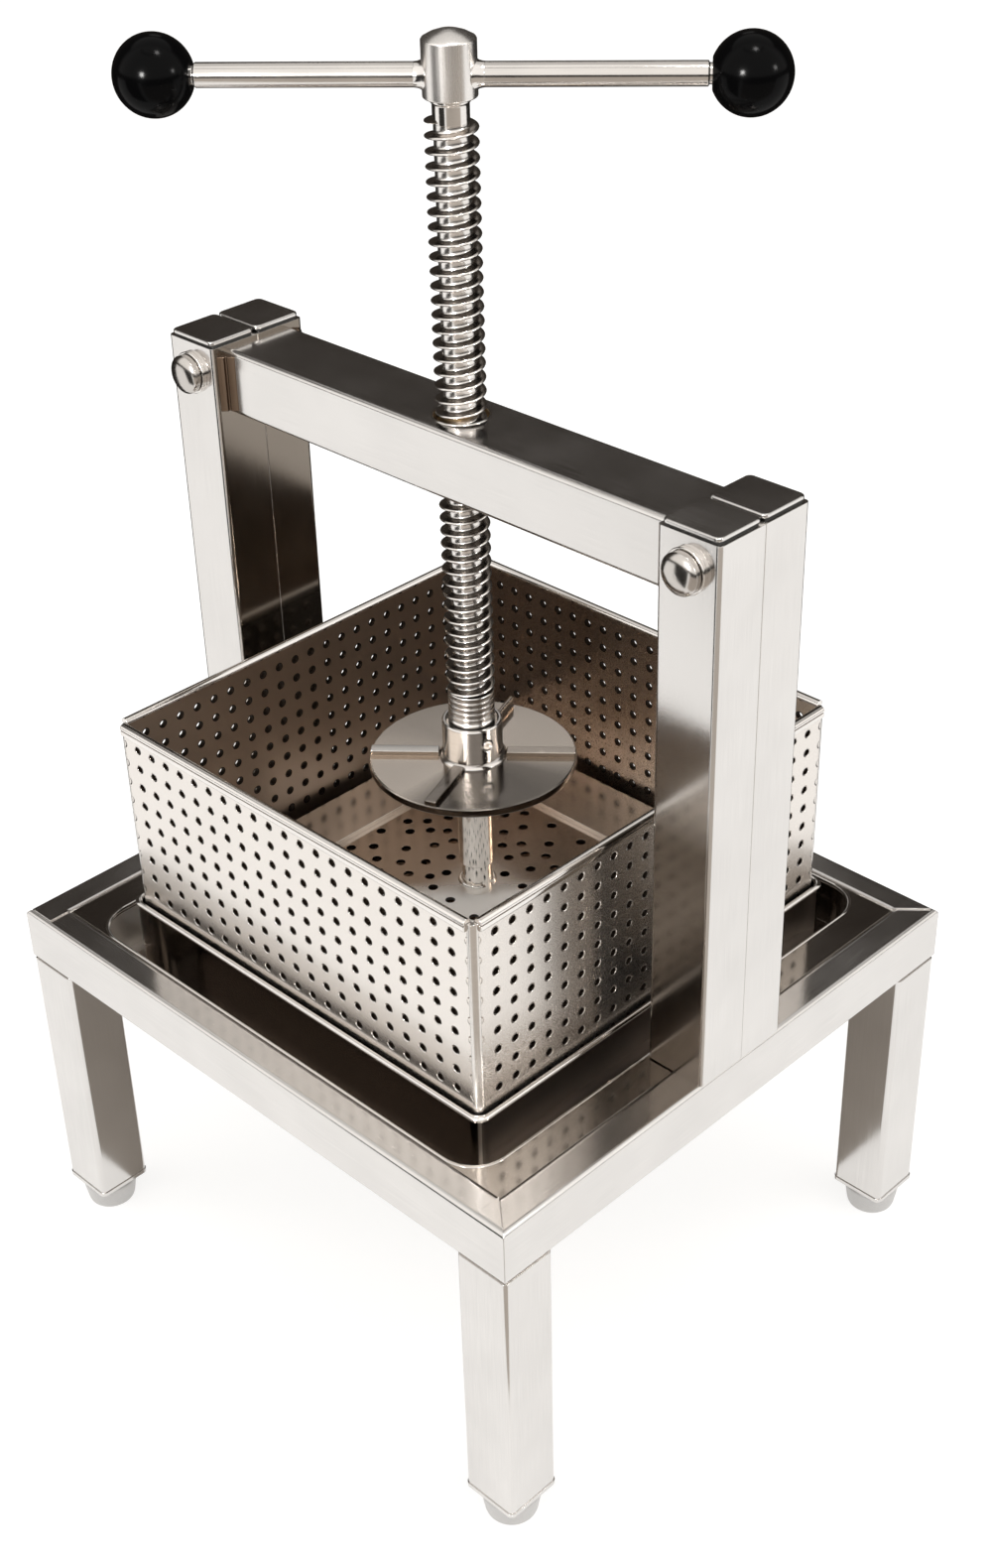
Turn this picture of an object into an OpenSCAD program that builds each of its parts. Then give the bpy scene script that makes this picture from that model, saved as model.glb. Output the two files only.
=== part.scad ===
// Paneer press: a steel table with a sunk pan, a drip tray and a perforated basket in it, and
// a portal frame over them whose hand screw drives a disc and a follower plate down on the curd.
// The origin is on the floor under the middle of the table. X runs along the crossbeam and
// the front of the press looks towards -Y.

/* [Basket] */
// Outer width of the basket, along the crossbeam
basket_w = 281; // [240:1:340]
// Outer depth of the basket
basket_d = 281; // [240:1:340]
// Height of the basket's walls
basket_h = 167; // [130:1:220]
// Thickness of the basket's sheet
basket_t = 3; // [1.5:0.1:3.4]
// Radius of the basket's upright folds
basket_r = 4; // [3:0.5:8]
// Height of the hem folded out along the rim
hem_h = 7; // [4:0.5:12]
// How far the hem stands out from the wall it is folded over
hem_t = 2.4; // [1.5:0.1:4]
// Distance between holes in the walls
hole_pitch = 12.5; // [10:0.5:20]
// Diameter of the holes in the walls
hole_d = 4.2; // [3:0.1:7]
// Plain margin between the rim and the first row of holes
hole_margin = 13; // [10:0.5:20]
// Distance between the drain holes in the basket's floor
floor_pitch = 25; // [15:1:40]

/* [Drip tray] */
// Gap between the basket and the tray's wall
tray_gap = 2.8; // [1.5:0.1:6]
// Height of the tray
tray_h = 46; // [36:1:60]
// Thickness of the tray's and the pan's sheet
sheet_t = 1.2; // [0.8:0.1:2]
// Radius of the tray's upright corners
tray_r = 8; // [5:0.5:15]
// Diameter of the roll along the tray's rim
tray_roll_d = 3.2; // [3:0.1:5]

/* [Table] */
// Finger room between the tray and the pan's left and right walls
well_gap_w = 15.5; // [8:0.5:30]
// Finger room between the tray and the pan's front and rear walls
well_gap_d = 19.5; // [8:0.5:30]
// Depth of the pan
pan_depth = 30; // [24:1:33]
// Radius of the pan's corners
pan_r = 22; // [12:1:40]
// How far the pan's flange lies below the top of the rails
pan_drop = 1; // [0.5:0.1:2]
// Width of the pan's flange on the left and right
ledge_w = 19.5; // [17:0.5:30]
// Width of the pan's flange on the front and rear
lip_d = 1.5; // [1.4:0.1:5]
// Width of the left and right rails
side_rail_w = 20.5; // [20:0.5:30]
// Width of the front and rear rails
end_rail_w = 18.5; // [14:0.5:30]
// Height of the rails
rail_h = 35; // [35:1:50]
// Wall of every square tube
tube_t = 2; // [1.5:0.1:3]
// Outer corner radius of every square tube
tube_r = 3; // [2.5:0.1:4]

/* [Legs and feet] */
// Width of the square legs
leg_w = 35; // [28:1:50]
// Length of the legs
leg_len = 173.5; // [120:0.5:300]
// Thickness of the plate that closes each leg
leg_plate_t = 2.5; // [1.5:0.5:5]
// How far that plate stands out round the leg
leg_plate_lip = 0.5; // [0.2:0.1:1.5]
// Height of the feet
foot_h = 19; // [12:1:30]
// Diameter of the feet at their top
foot_d = 34; // [26:1:45]
// Diameter of the feet at the floor
foot_base_d = 30; // [20:1:40]

/* [Portal frame] */
// Width of the uprights, along the crossbeam
upright_w = 38; // [30:1:44]
// Depth of one of the two tubes of an upright
upright_d = 33; // [30:1:45]
// Height of the uprights above the rails
upright_h = 319; // [290:1:420]
// Height of the crossbeam
beam_h = 38; // [30:1:60]
// Depth of the crossbeam
beam_d = 47; // [44:1:52]
// How far the crossbeam's top lies below the ends of the uprights
beam_drop = 2; // [0:0.5:20]
// Wall of the crossbeam
beam_t = 2.5; // [2:0.1:4]
// Thickness of the plates that close the uprights
cap_t = 2.2; // [1.5:0.1:5]
// Shadow gap between a closing plate and its upright
cap_gap = 1.2; // [0.5:0.1:3]
// Diameter of the tie bolts' heads
bolt_head_d = 22; // [18:1:28]
// Diameter of the tie bolts
bolt_d = 10; // [8:1:14]
// Distance from the ends of the uprights to the tie bolts
bolt_drop = 17.5; // [15:0.5:30]

/* [Press screw] */
// Crest diameter of the screw
thread_d = 27; // [24:0.5:29]
// Root diameter of the screw
root_d = 19; // [18:0.5:22]
// Lead of the screw, with one start
lead = 7.5; // [6:0.5:10]
// Length of the screw's thread
thread_len = 314; // [280:1:360]
// Plain neck between the thread and the hub
neck_len = 11; // [6:1:20]
// Diameter of the plain lower end
spigot_d = 26; // [22:0.5:28]
// Length of the plain lower end
spigot_len = 42.5; // [36:0.5:60]

/* [Handle] */
// Diameter of the hub
hub_d = 27; // [25:0.5:34]
// Height of the hub's straight side
hub_h = 27; // [24:1:40]
// Height of the bar above the hub's lower face
bar_up = 10.5; // [8.5:0.5:14]
// Diameter of the bar
bar_d = 12; // [9:0.5:13]
// Distance from the screw to the middle of each knob
bar_reach = 142.5; // [100:0.5:200]
// Direction of the bar at rest, from the crossbeam
bar_angle = 40; // [0:1:180]
// Diameter of the ball knobs
knob_d = 40; // [30:1:50]

/* [Pressing foot] */
// Room under the follower plate as drawn
press_room = 41.8; // [20:0.1:80]
// Gap between the follower plate and the basket's wall
follower_gap = 7.5; // [4:0.5:14]
// Thickness of the perforated follower plate
follower_t = 2; // [1.5:0.5:4]
// Thickness of the frame on the follower plate
frame_t = 3; // [2:0.5:6]
// Width of the frame's left and right bars
frame_side_w = 37; // [20:1:60]
// Width of the frame's front and rear bars
frame_end_w = 43; // [20:1:60]
// Diameter of the pressing disc
disc_d = 118; // [90:1:150]
// Thickness of the pressing disc
disc_t = 5; // [3:0.5:8]
// Outer diameter of the collar on the disc
collar_d = 34; // [33:0.5:40]
// Height of the collar
collar_h = 24; // [20:1:34]
// Diameter of the post under the disc
post_d = 20; // [18:1:26]
// Length of the post
post_len = 88; // [60:1:120]
// Width of the flat strips on the disc
strip_w = 7; // [5:0.5:12]
// Height of the flat strips
strip_t = 3; // [2:0.5:5]
// Direction of the first pair of strips
strip_angle = 41; // [0:1:90]
// Turn from the first pair of strips to the second
strip_turn_angle = 70; // [60:1:90]

/* [Hidden] */

// Facets of a full turn on round parts, on small holes and on the screw's thread
round_fn = 72;
hole_fn = 16;
thread_fn = 16;
// Overrun of every cut, a push fit and the clearance of a running shaft, both on the radius
over = 1;
push = 0.1;
running = 0.05;

// Plan of the table, from the basket outwards
tray_w = basket_w + 2 * (tray_gap + sheet_t);
tray_d = basket_d + 2 * (tray_gap + sheet_t);
open_w = tray_w + 2 * well_gap_w;
open_d = tray_d + 2 * well_gap_d;
bay_w = open_w + 2 * ledge_w;
bay_d = open_d + 2 * lip_d;
table_w = bay_w + 2 * side_rail_w;
table_d = bay_d + 2 * end_rail_w;
leg_x = table_w / 2 - leg_w / 2;
leg_y = table_d / 2 - leg_w / 2;

// Heights, from the floor upwards
leg_z = foot_h + leg_plate_t;
rail_z = leg_z + leg_len;
deck_z = rail_z + rail_h;
flange_z = deck_z - pan_drop;
pan_z = flange_z - pan_depth;
basket_z = pan_z + sheet_t;
basket_floor_z = basket_z + basket_t;
upright_top = deck_z + upright_h;
beam_top = upright_top - beam_drop;
beam_z = beam_top - beam_h;
bolt_z = upright_top - bolt_drop;
upright_x = table_w / 2 - upright_w / 2;
beam_reach = table_w / 2 - upright_w;
follower_z = basket_floor_z + press_room;
post_z = follower_z + follower_t;
disc_z = post_z + post_len;
collar_z = disc_z + disc_t;
washer_t = 1.5;
spigot_z = collar_z + washer_t;
thread_z = spigot_z + spigot_len;
neck_z = thread_z + thread_len;
hub_z = neck_z + neck_len;
bar_z = hub_z + bar_up;

// Small sizes of the frame
leg_plate_r = tube_r + leg_plate_lip;
corner_plate_t = 0.8;
corner_plate_inset = 0.6;
foot_neck_in = 1;
foot_neck_d = foot_base_d - 2 * foot_neck_in;
foot_neck_h = 2;
foot_edge = 3;
foot_peg_d = 10;
foot_peg_len = 9;
cap_inset = 1.6;
cap_plug_len = 12;
weld_leg = 7;
hole_play = 3;
beam_r = 3;
inner_r = 0.4;
nut_gap = 1;
nut_d = beam_d - 2 * (beam_t + nut_gap);

// Small sizes of the tie bolts
bolt_head_h = 5;
bolt_dome_h = 1.6;
bolt_washer_lip = 1;
bolt_washer_d = bolt_head_d + 2 * bolt_washer_lip;
bolt_washer_t = 2.6;
bolt_neck_h = 0.6;
bolt_neck_in = 1.5;
bolt_neck_d = bolt_head_d - 2 * bolt_neck_in;
bolt_end_len = 3;

// Small sizes of the screw, the nut and the hub
ridge_base = 3.6;
ridge_crest = 1.3;
nut_play = 0.6;
nut_side_play = 0.5;
runout_share = 0.5;
root_sleeve_t = 0.2;
sleeve_leads = 1.6;
ring_grooves = 5;
groove_t = 2;
groove_d = spigot_d - 2 * groove_t;
groove_h = 5.6;
ring_groove_h = 1.2;
ring_groove_t = 0.5;
hub_bevel = 2;
hub_dome = 3;
neck_in_hub = 21;
knob_flat = 1.5;
bar_end_in = 1;
bar_end_d = bar_d - 2 * bar_end_in;
bar_end_len = 12;

// Small sizes of the pressing foot
collar_top_share = 0.45;
collar_top_d = 29;
weld_w = 2.4;
set_screw_d = 5;
strip_end_in = 2.5;
set_screw_up = 14;
set_screw_angle = -15;
set_screw_socket_d = 2.6;
post_foot_in = 1.5;
post_foot_d = post_d - 2 * post_foot_in;
post_foot_len = 20;
ring_wire_d = 2.8;
ring_gap_w = 7;
ring_up = 3.4;
follower_hole_d = 5.8;
follower_pitch = 21;
follower_drift = 3;
follower_keep = 17;
screw_d = 8;
screw_len = 18;
screw_head_d = 15.6;
screw_head_h = 1.9;
screw_end_gap = 1;

// The hem's fold spans the wall and the skirt, and the wall ends under it
fold_w = basket_t + hem_t;
fold_side_h = 0.6;
fold_r = norm([fold_w / 2, fold_side_h]);
wall_h = basket_h - fold_r;

follower_w = basket_w - 2 * (basket_t + follower_gap);
follower_d = basket_d - 2 * (basket_t + follower_gap);
window_w = follower_w - 2 * frame_side_w;
window_d = follower_d - 2 * frame_end_w;

// A rectangle with round corners, built of exact arcs
module round_rect(w, d, r) {
  square([w - 2 * r, d], center = true);
  square([w, d - 2 * r], center = true);
  for (sx = [-1, 1], sy = [-1, 1])
    translate([sx * (w / 2 - r), sy * (d / 2 - r)])
      circle(r = r, $fn = round_fn);
}

module tube_section(w, d, wall, r) {
  difference() {
    round_rect(w, d, r);
    round_rect(w - 2 * wall, d - 2 * wall, max(r - wall, inner_r));
  }
}

// A square tube that stands on z
module standing_tube(x, y, z, w, d, len) {
  translate([x, y, z])
    linear_extrude(len)
      tube_section(w, d, tube_t, tube_r);
}

// A rail along X, mitred at both ends, with its outer face on y
module rail(len, wide, across) {
  difference() {
    translate([0, -wide / 2, 0])
      rotate([90, 0, 90])
        linear_extrude(len, center = true)
          translate([0, rail_h / 2])
            tube_section(wide, rail_h, tube_t, tube_r);
    for (s = [-1, 1])
      translate([s * len / 2, 0, -over])
        linear_extrude(rail_h + 2 * over)
          polygon([[0, 0], [s * over, 0], [s * over, -wide - over],
                   [-s * across * (wide + over) / wide, -wide - over]]);
  }
}

module front_rail() {
  color("gainsboro")
    translate([0, -table_d / 2, rail_z])
      rotate([0, 0, 180])
        rail(table_w, end_rail_w, side_rail_w);
}

module rear_rail() {
  color("gainsboro")
    translate([0, table_d / 2, rail_z])
      rail(table_w, end_rail_w, side_rail_w);
}

module left_rail() {
  color("gainsboro")
    translate([-table_w / 2, 0, rail_z])
      rotate([0, 0, 90])
        rail(table_d, side_rail_w, end_rail_w);
}

module right_rail() {
  color("gainsboro")
    translate([table_w / 2, 0, rail_z])
      rotate([0, 0, -90])
        rail(table_d, side_rail_w, end_rail_w);
}

// Thin cover plates on the mitres, one at each corner of the table
module corner_plates() {
  color("silver")
    for (sx = [-1, 1], sy = [-1, 1])
      translate([sx * table_w / 2, sy * table_d / 2, deck_z])
        linear_extrude(corner_plate_t)
          polygon([[-sx * (tube_r + corner_plate_inset), -sy * tube_r],
                   [-sx * side_rail_w, -sy * (end_rail_w - corner_plate_inset)],
                   [-sx * side_rail_w, -sy * tube_r]]);
}

// The pan: a flange between the rails, four walls with round corners and a floor
module deck_pan() {
  color("dimgray") {
    translate([0, 0, flange_z - sheet_t])
      linear_extrude(sheet_t)
        difference() {
          square([bay_w, bay_d], center = true);
          round_rect(open_w, open_d, pan_r);
        }
    translate([0, 0, pan_z - sheet_t])
      linear_extrude(pan_depth + sheet_t)
        difference() {
          round_rect(open_w + 2 * sheet_t, open_d + 2 * sheet_t, pan_r + sheet_t);
          round_rect(open_w, open_d, pan_r);
        }
    translate([0, 0, pan_z - sheet_t])
      linear_extrude(sheet_t)
        round_rect(open_w + 2 * sheet_t, open_d + 2 * sheet_t, pan_r + sheet_t);
  }
}

// The drip tray stands on the pan's floor and has a rolled rim
module drip_tray() {
  color("dimgray") {
    translate([0, 0, pan_z])
      linear_extrude(sheet_t)
        round_rect(tray_w, tray_d, tray_r);
    translate([0, 0, pan_z])
      linear_extrude(tray_h - tray_roll_d / 2)
        tube_section(tray_w, tray_d, sheet_t, tray_r);
    translate([0, 0, pan_z + tray_h - tray_roll_d])
      linear_extrude(tray_roll_d)
        tube_section(tray_w + tray_roll_d - sheet_t, tray_d + tray_roll_d - sheet_t,
                     tray_roll_d / 2 + sheet_t / 2, tray_r + (tray_roll_d - sheet_t) / 2);
  }
}

module leg(sx, sy) {
  color("lightgray")
    standing_tube(sx * leg_x, sy * leg_y, leg_z, leg_w, leg_w, leg_len);
}

module leg_plate(sx, sy) {
  color("gray")
    translate([sx * leg_x, sy * leg_y, foot_h])
      difference() {
        linear_extrude(leg_plate_t)
          round_rect(leg_w + 2 * leg_plate_lip, leg_w + 2 * leg_plate_lip, leg_plate_r);
        translate([0, 0, -over])
          cylinder(d = foot_peg_d + 2 * push, h = leg_plate_t + 2 * over, $fn = round_fn);
      }
}

// A tapered foot with a waist under the plate and a peg that goes up through it
module foot(sx, sy) {
  color("whitesmoke")
    translate([sx * leg_x, sy * leg_y, 0])
      rotate_extrude($fn = round_fn)
        polygon([[0, 0], [foot_base_d / 2 - foot_edge, 0], [foot_base_d / 2, foot_edge],
                 [foot_d / 2, foot_h - foot_neck_h - foot_edge / 2],
                 [foot_d / 2 - foot_edge / 2, foot_h - foot_neck_h],
                 [foot_neck_d / 2, foot_h - foot_neck_h], [foot_neck_d / 2, foot_h],
                 [foot_peg_d / 2, foot_h], [foot_peg_d / 2, foot_h + foot_peg_len],
                 [0, foot_h + foot_peg_len]]);
}

// One of an upright's two tubes, drilled through for the tie bolt
module upright(sx, sy) {
  color("gainsboro")
    difference() {
      standing_tube(sx * upright_x, sy * upright_d / 2, deck_z, upright_w, upright_d, upright_h);
      translate([sx * upright_x, sy * (upright_d + over), bolt_z])
        rotate([sy * 90, 0, 0])
          cylinder(d = bolt_d + 2 * push, h = upright_d + 2 * over, $fn = round_fn);
    }
}

module cap(sx, sy) {
  color("dimgray")
    translate([sx * upright_x, sy * upright_d / 2, upright_top]) {
      translate([0, 0, cap_gap])
        linear_extrude(cap_t)
          round_rect(upright_w - 2 * cap_inset, upright_d - cap_inset, tube_r);
      translate([0, 0, -cap_plug_len])
        linear_extrude(cap_plug_len + cap_gap)
          square([upright_w - 2 * (tube_t + inner_r), upright_d - 2 * (tube_t + inner_r)],
                 center = true);
    }
}

// The crossbeam, bored for the screw, with a weld bead on each upright edge of its ends
module crossbeam() {
  color("silver") {
    difference() {
      translate([0, 0, beam_z + beam_h / 2])
        rotate([90, 0, 90])
          linear_extrude(2 * beam_reach, center = true)
            tube_section(beam_d, beam_h, beam_t, beam_r);
      translate([0, 0, beam_z - over])
        cylinder(d = thread_d + hole_play, h = beam_h + 2 * over, $fn = round_fn);
    }
    for (sx = [-1, 1], sy = [-1, 1])
      translate([sx * beam_reach, sy * beam_d / 2, beam_z + beam_r])
        linear_extrude(beam_h - 2 * beam_r)
          polygon([[0, -sy * beam_t / 2], [-sx * weld_leg, -sy * beam_t / 2], [-sx * weld_leg, 0],
                   [0, sy * weld_leg]]);
  }
}

// A domed head of a tie bolt or of its nut, standing out along -Z from z = 0
module domed_head() {
  dome_r = (pow(bolt_head_d / 2, 2) + pow(bolt_dome_h, 2)) / (2 * bolt_dome_h);
  head_top = bolt_neck_h + bolt_head_h;
  cylinder(d = bolt_neck_d, h = bolt_neck_h, $fn = round_fn);
  translate([0, 0, bolt_neck_h])
    cylinder(d = bolt_head_d, h = bolt_head_h, $fn = round_fn);
  intersection() {
    translate([0, 0, head_top])
      cylinder(d = bolt_head_d, h = bolt_dome_h, $fn = round_fn);
    translate([0, 0, head_top + bolt_dome_h - dome_r])
      sphere(r = dome_r, $fn = round_fn);
  }
}

// Places a child at the front of an upright, with its +Z axis pointing to the front
module at_bolt(sx, sy) {
  translate([sx * upright_x, sy * (upright_d + bolt_washer_t), bolt_z])
    rotate([-sy * 90, 0, 0])
      children();
}

module tie_bolt(sx) {
  color("silver")
    at_bolt(sx, -1) {
      domed_head();
      translate([0, 0, -2 * (upright_d + bolt_washer_t) - bolt_end_len])
        cylinder(d = bolt_d, h = 2 * (upright_d + bolt_washer_t) + bolt_end_len, $fn = round_fn);
    }
}

module tie_washers() {
  color("silver")
    for (sx = [-1, 1], sy = [-1, 1])
      at_bolt(sx, sy)
        translate([0, 0, -bolt_washer_t])
          difference() {
            cylinder(d = bolt_washer_d, h = bolt_washer_t, $fn = round_fn);
            translate([0, 0, -over])
              cylinder(d = bolt_d + 2 * push, h = bolt_washer_t + 2 * over, $fn = round_fn);
          }
}

module tie_nuts() {
  color("silver")
    for (sx = [-1, 1])
      at_bolt(sx, 1)
        difference() {
          domed_head();
          translate([0, 0, -over])
            cylinder(d = bolt_d, h = bolt_end_len + over, $fn = round_fn);
        }
}

// The outline of one lead of the thread: height above the start of the turn, then radius
function thread_profile(root, crest, side) = [
  [-side, root],
  [(ridge_base - ridge_crest) / 2 - side, crest],
  [(ridge_base + ridge_crest) / 2 + side, crest],
  [ridge_base + side, root]];

// A rod with a helical ridge. Step i of the helix lies one facet round and lead / thread_fn up.
// Each profile point joins the next one, and the last joins the first of the turn above.
module threaded_rod(z, len, root, crest, side) {
  turns = floor(len / lead) - 1;
  steps = turns * thread_fn;
  outline = thread_profile(root, crest, side);
  points = len(outline);
  fade = runout_share * thread_fn;
  function ridge(i) = min(1, i / fade, (steps - i) / fade);
  function place(i, j) =
    let (r = root + (outline[j][1] - root) * max(0, ridge(i)), a = 360 * i / thread_fn)
    [r * cos(a), r * sin(a), z + lead / 2 + i * lead / thread_fn + outline[j][0]];
  // The helix has one more turn of plain root points above it, so every quad has its corners
  function index(i, j) = j < points ? i * points + j : (i + thread_fn) * points;
  rows = steps + thread_fn;
  verts = concat(
    [for (i = [0 : rows], j = [0 : points - 1]) place(i, j)],
    [[0, 0, z], [0, 0, z + len]]);
  low = len(verts) - 2;
  high = len(verts) - 1;
  sides = [for (i = [0 : steps - 1], j = [0 : points - 1], half = [0, 1])
    half == 0 ? [index(i, j), index(i, j + 1), index(i + 1, j + 1)]
              : [index(i, j), index(i + 1, j + 1), index(i + 1, j)]];
  low_end = concat(
    [for (i = [0 : thread_fn - 1]) [low, index(i, 0), index(i + 1, 0)]],
    [for (j = [0 : points - 1]) [low, index(0, j + 1), index(0, j)]]);
  high_end = concat(
    [for (i = [steps : steps + thread_fn - 1]) [high, index(i + 1, 0), index(i, 0)]],
    [for (j = [0 : points - 1]) [high, index(steps, j), index(steps, j + 1)]]);
  polyhedron(verts, concat(sides, low_end, high_end));
}

// The screw: plain neck, thread, and a plain lower end that turns in the collar
module press_screw() {
  sleeve_d = root_d + 2 * root_sleeve_t;
  color("silver") {
    difference() {
      union() {
        threaded_rod(thread_z, thread_len, root_d / 2, thread_d / 2, 0);
        translate([0, 0, thread_z - over])
          cylinder(d = sleeve_d, h = sleeve_leads * lead + over, $fn = round_fn);
        translate([0, 0, neck_z - sleeve_leads * lead])
          cylinder(d = sleeve_d, h = sleeve_leads * lead + neck_len + neck_in_hub, $fn = round_fn);
      }
      at_bar(0)
        cylinder(d = bar_d + 2 * running, h = hub_d, center = true, $fn = round_fn);
    }
    difference() {
      translate([0, 0, spigot_z])
        cylinder(d = spigot_d, h = spigot_len, $fn = round_fn);
      translate([0, 0, collar_z + set_screw_up - groove_h / 2])
        ring(groove_d, spigot_d + 2 * over, groove_h);
      for (i = [1 : ring_grooves])
        translate([0, 0, thread_z - 2 * i * ring_groove_h])
          ring(spigot_d - 2 * ring_groove_t, spigot_d + 2 * over, ring_groove_h);
    }
  }
}

// A flat ring that stands on z = 0
module ring(inner, outer, h) {
  difference() {
    cylinder(d = outer, h = h, $fn = round_fn);
    translate([0, 0, -over])
      cylinder(d = inner, h = h + 2 * over, $fn = round_fn);
  }
}

// Places a child on the bar's axis, with +Z along the bar, at a distance from the screw
module at_bar(reach) {
  translate([0, 0, bar_z])
    rotate([0, 90, bar_angle])
      translate([0, 0, reach])
        children();
}

// The nut is held between the crossbeam's walls. Its thread has the screw's helix, with play.
module screw_nut() {
  nut_z = beam_z + beam_t;
  nut_h = beam_h - 2 * beam_t;
  turns_below = ceil((nut_z - thread_z) / lead);
  spare_leads = 2;
  color("darkgray")
    difference() {
      translate([0, 0, nut_z])
        cylinder(d = nut_d, h = nut_h, $fn = round_fn);
      translate([0, 0, (turns_below - spare_leads) * lead])
        threaded_rod(thread_z, nut_h + 2 * spare_leads * lead, root_d / 2 + nut_play,
                     thread_d / 2 + nut_play, nut_side_play);
    }
}

module hub() {
  color("gainsboro")
    difference() {
      translate([0, 0, hub_z])
        rotate_extrude($fn = round_fn)
          polygon([[root_d / 2 + root_sleeve_t + push, 0], [hub_d / 2, 0], [hub_d / 2, hub_h],
                   [hub_d / 2 - hub_bevel, hub_h + hub_bevel], [0, hub_h + hub_bevel + hub_dome],
                   [0, neck_in_hub + push], [root_d / 2 + root_sleeve_t + push, neck_in_hub + push]]);
      at_bar(0)
        cylinder(d = bar_d + 2 * running, h = hub_d + 2 * over, center = true, $fn = round_fn);
    }
}

module handle_bar() {
  color("silver") {
    at_bar(0)
      cylinder(d = bar_d, h = 2 * (bar_reach - knob_d / 2), center = true, $fn = round_fn);
    at_bar(0)
      cylinder(d = bar_end_d, h = 2 * (bar_reach - knob_d / 2 + bar_end_len), center = true,
               $fn = round_fn);
  }
}

// A ball knob, flat where it meets the bar and drilled for the bar's end
module knob(s) {
  color("black")
    difference() {
      intersection() {
        at_bar(s * bar_reach)
          sphere(d = knob_d, $fn = round_fn);
        at_bar(s * (bar_reach + knob_flat))
          cylinder(d = knob_d + 2 * over, h = knob_d, center = true, $fn = round_fn);
      }
      at_bar(s * (bar_reach - knob_d / 2 + bar_end_len / 2))
        cylinder(d = bar_end_d + 2 * push, h = bar_end_len + 2 * push, center = true, $fn = round_fn);
    }
}

// The collar: a running bore in its lower part, a wider one above it
module collar() {
  color("tan")
    translate([0, 0, collar_z])
      difference() {
        ring(spigot_d + 2 * running, collar_d, collar_h);
        translate([0, 0, collar_h * (1 - collar_top_share)])
          cylinder(d = collar_top_d, h = collar_h, $fn = round_fn);
        at_set_screw()
          cylinder(d = set_screw_d + 2 * running, h = collar_d, $fn = round_fn);
      }
}

// Places a child on the set screw's axis, with +Z pointing outwards
module at_set_screw() {
  translate([0, 0, set_screw_up])
    rotate([0, 90, set_screw_angle])
      children();
}

module collar_weld() {
  color("gainsboro")
    translate([0, 0, collar_z])
      rotate_extrude($fn = round_fn)
        polygon([[collar_d / 2, 0], [collar_d / 2 + weld_w, 0], [collar_d / 2, weld_w]]);
}

module thrust_washer() {
  color("goldenrod")
    translate([0, 0, collar_z])
      cylinder(d = spigot_d - 2 * push, h = washer_t, $fn = round_fn);
}

// The set screw's tip runs in the groove of the screw's lower end
module set_screw() {
  tip = groove_d / 2 + push;
  color("dimgray")
    translate([0, 0, collar_z])
      at_set_screw()
        difference() {
          translate([0, 0, tip])
            cylinder(d = set_screw_d, h = collar_d / 2 - tip, $fn = round_fn);
          translate([0, 0, collar_d / 2 - set_screw_d / 2])
            cylinder(d = set_screw_socket_d, h = set_screw_d, $fn = 6);
        }
}

module press_disc() {
  color("silver")
    translate([0, 0, disc_z])
      cylinder(d = disc_d, h = disc_t, $fn = round_fn);
}

// Four strips from the weld to the edge of the disc. Three lie flat, and the rear one stands on edge.
module disc_strips() {
  start = collar_d / 2 + weld_w;
  color("darkgray")
    translate([0, 0, collar_z]) {
      for (angle = [strip_angle, strip_angle + 180, strip_angle + strip_turn_angle + 180])
        intersection() {
          rotate([0, 0, angle])
            translate([start, -strip_w / 2, 0])
              cube([disc_d / 2, strip_w, strip_t]);
          ring(2 * start, disc_d, strip_t);
        }
      intersection() {
        rotate([0, 0, strip_angle + strip_turn_angle])
          translate([start, -strip_t / 2, 0])
            cube([disc_d / 2, strip_t, strip_w]);
        ring(2 * start, disc_d - 2 * strip_end_in, strip_w);
      }
    }
}

// The post: thicker above, thinner at its foot, with a blind hole for the plate's screw
module press_post() {
  color("silver")
    difference() {
      union() {
        translate([0, 0, post_z + post_foot_len])
          cylinder(d = post_d, h = post_len - post_foot_len, $fn = round_fn);
        translate([0, 0, post_z])
          cylinder(d = post_foot_d, h = post_foot_len, $fn = round_fn);
      }
      translate([0, 0, post_z - over])
        cylinder(d = screw_d, h = screw_len + over, $fn = round_fn);
    }
}

// An open ring of round wire sprung on to the post's foot
module retaining_ring() {
  color("gainsboro")
    difference() {
      translate([0, 0, post_z + frame_t + ring_up])
        rotate_extrude($fn = round_fn)
          translate([(post_foot_d + ring_wire_d) / 2, 0])
            circle(d = ring_wire_d, $fn = hole_fn);
      translate([post_foot_d / 2, -ring_gap_w / 2, post_z])
        cube([post_d, ring_gap_w, post_foot_len]);
    }
}

// The follower plate's drain holes lie on a staggered grid and drift off it a little
function drain_holes() =
  let (cols = floor(window_w / 2 / follower_pitch), rows = floor(window_d / follower_pitch))
  [for (r = [-rows : rows], c = [-cols : cols])
    let (x = (c + (r % 2 == 0 ? 0 : 1 / 2)) * follower_pitch
             + follower_drift * sin(97 * c + 61 * r),
         y = r * follower_pitch / 2 + follower_drift * sin(53 * c - 83 * r))
    if (abs(x) < window_w / 2 - follower_hole_d && abs(y) < window_d / 2 - follower_hole_d
        && norm([x, y]) > follower_keep) [x, y]];

module follower_plate() {
  color("rosybrown")
    difference() {
      translate([0, 0, follower_z])
        linear_extrude(follower_t)
          difference() {
            square([follower_w, follower_d], center = true);
            circle(d = screw_d + 2 * push, $fn = round_fn);
            for (p = drain_holes())
              translate(p)
                circle(d = follower_hole_d, $fn = hole_fn);
          }
      translate([0, 0, follower_z])
        screw_head(push);
    }
}

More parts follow.
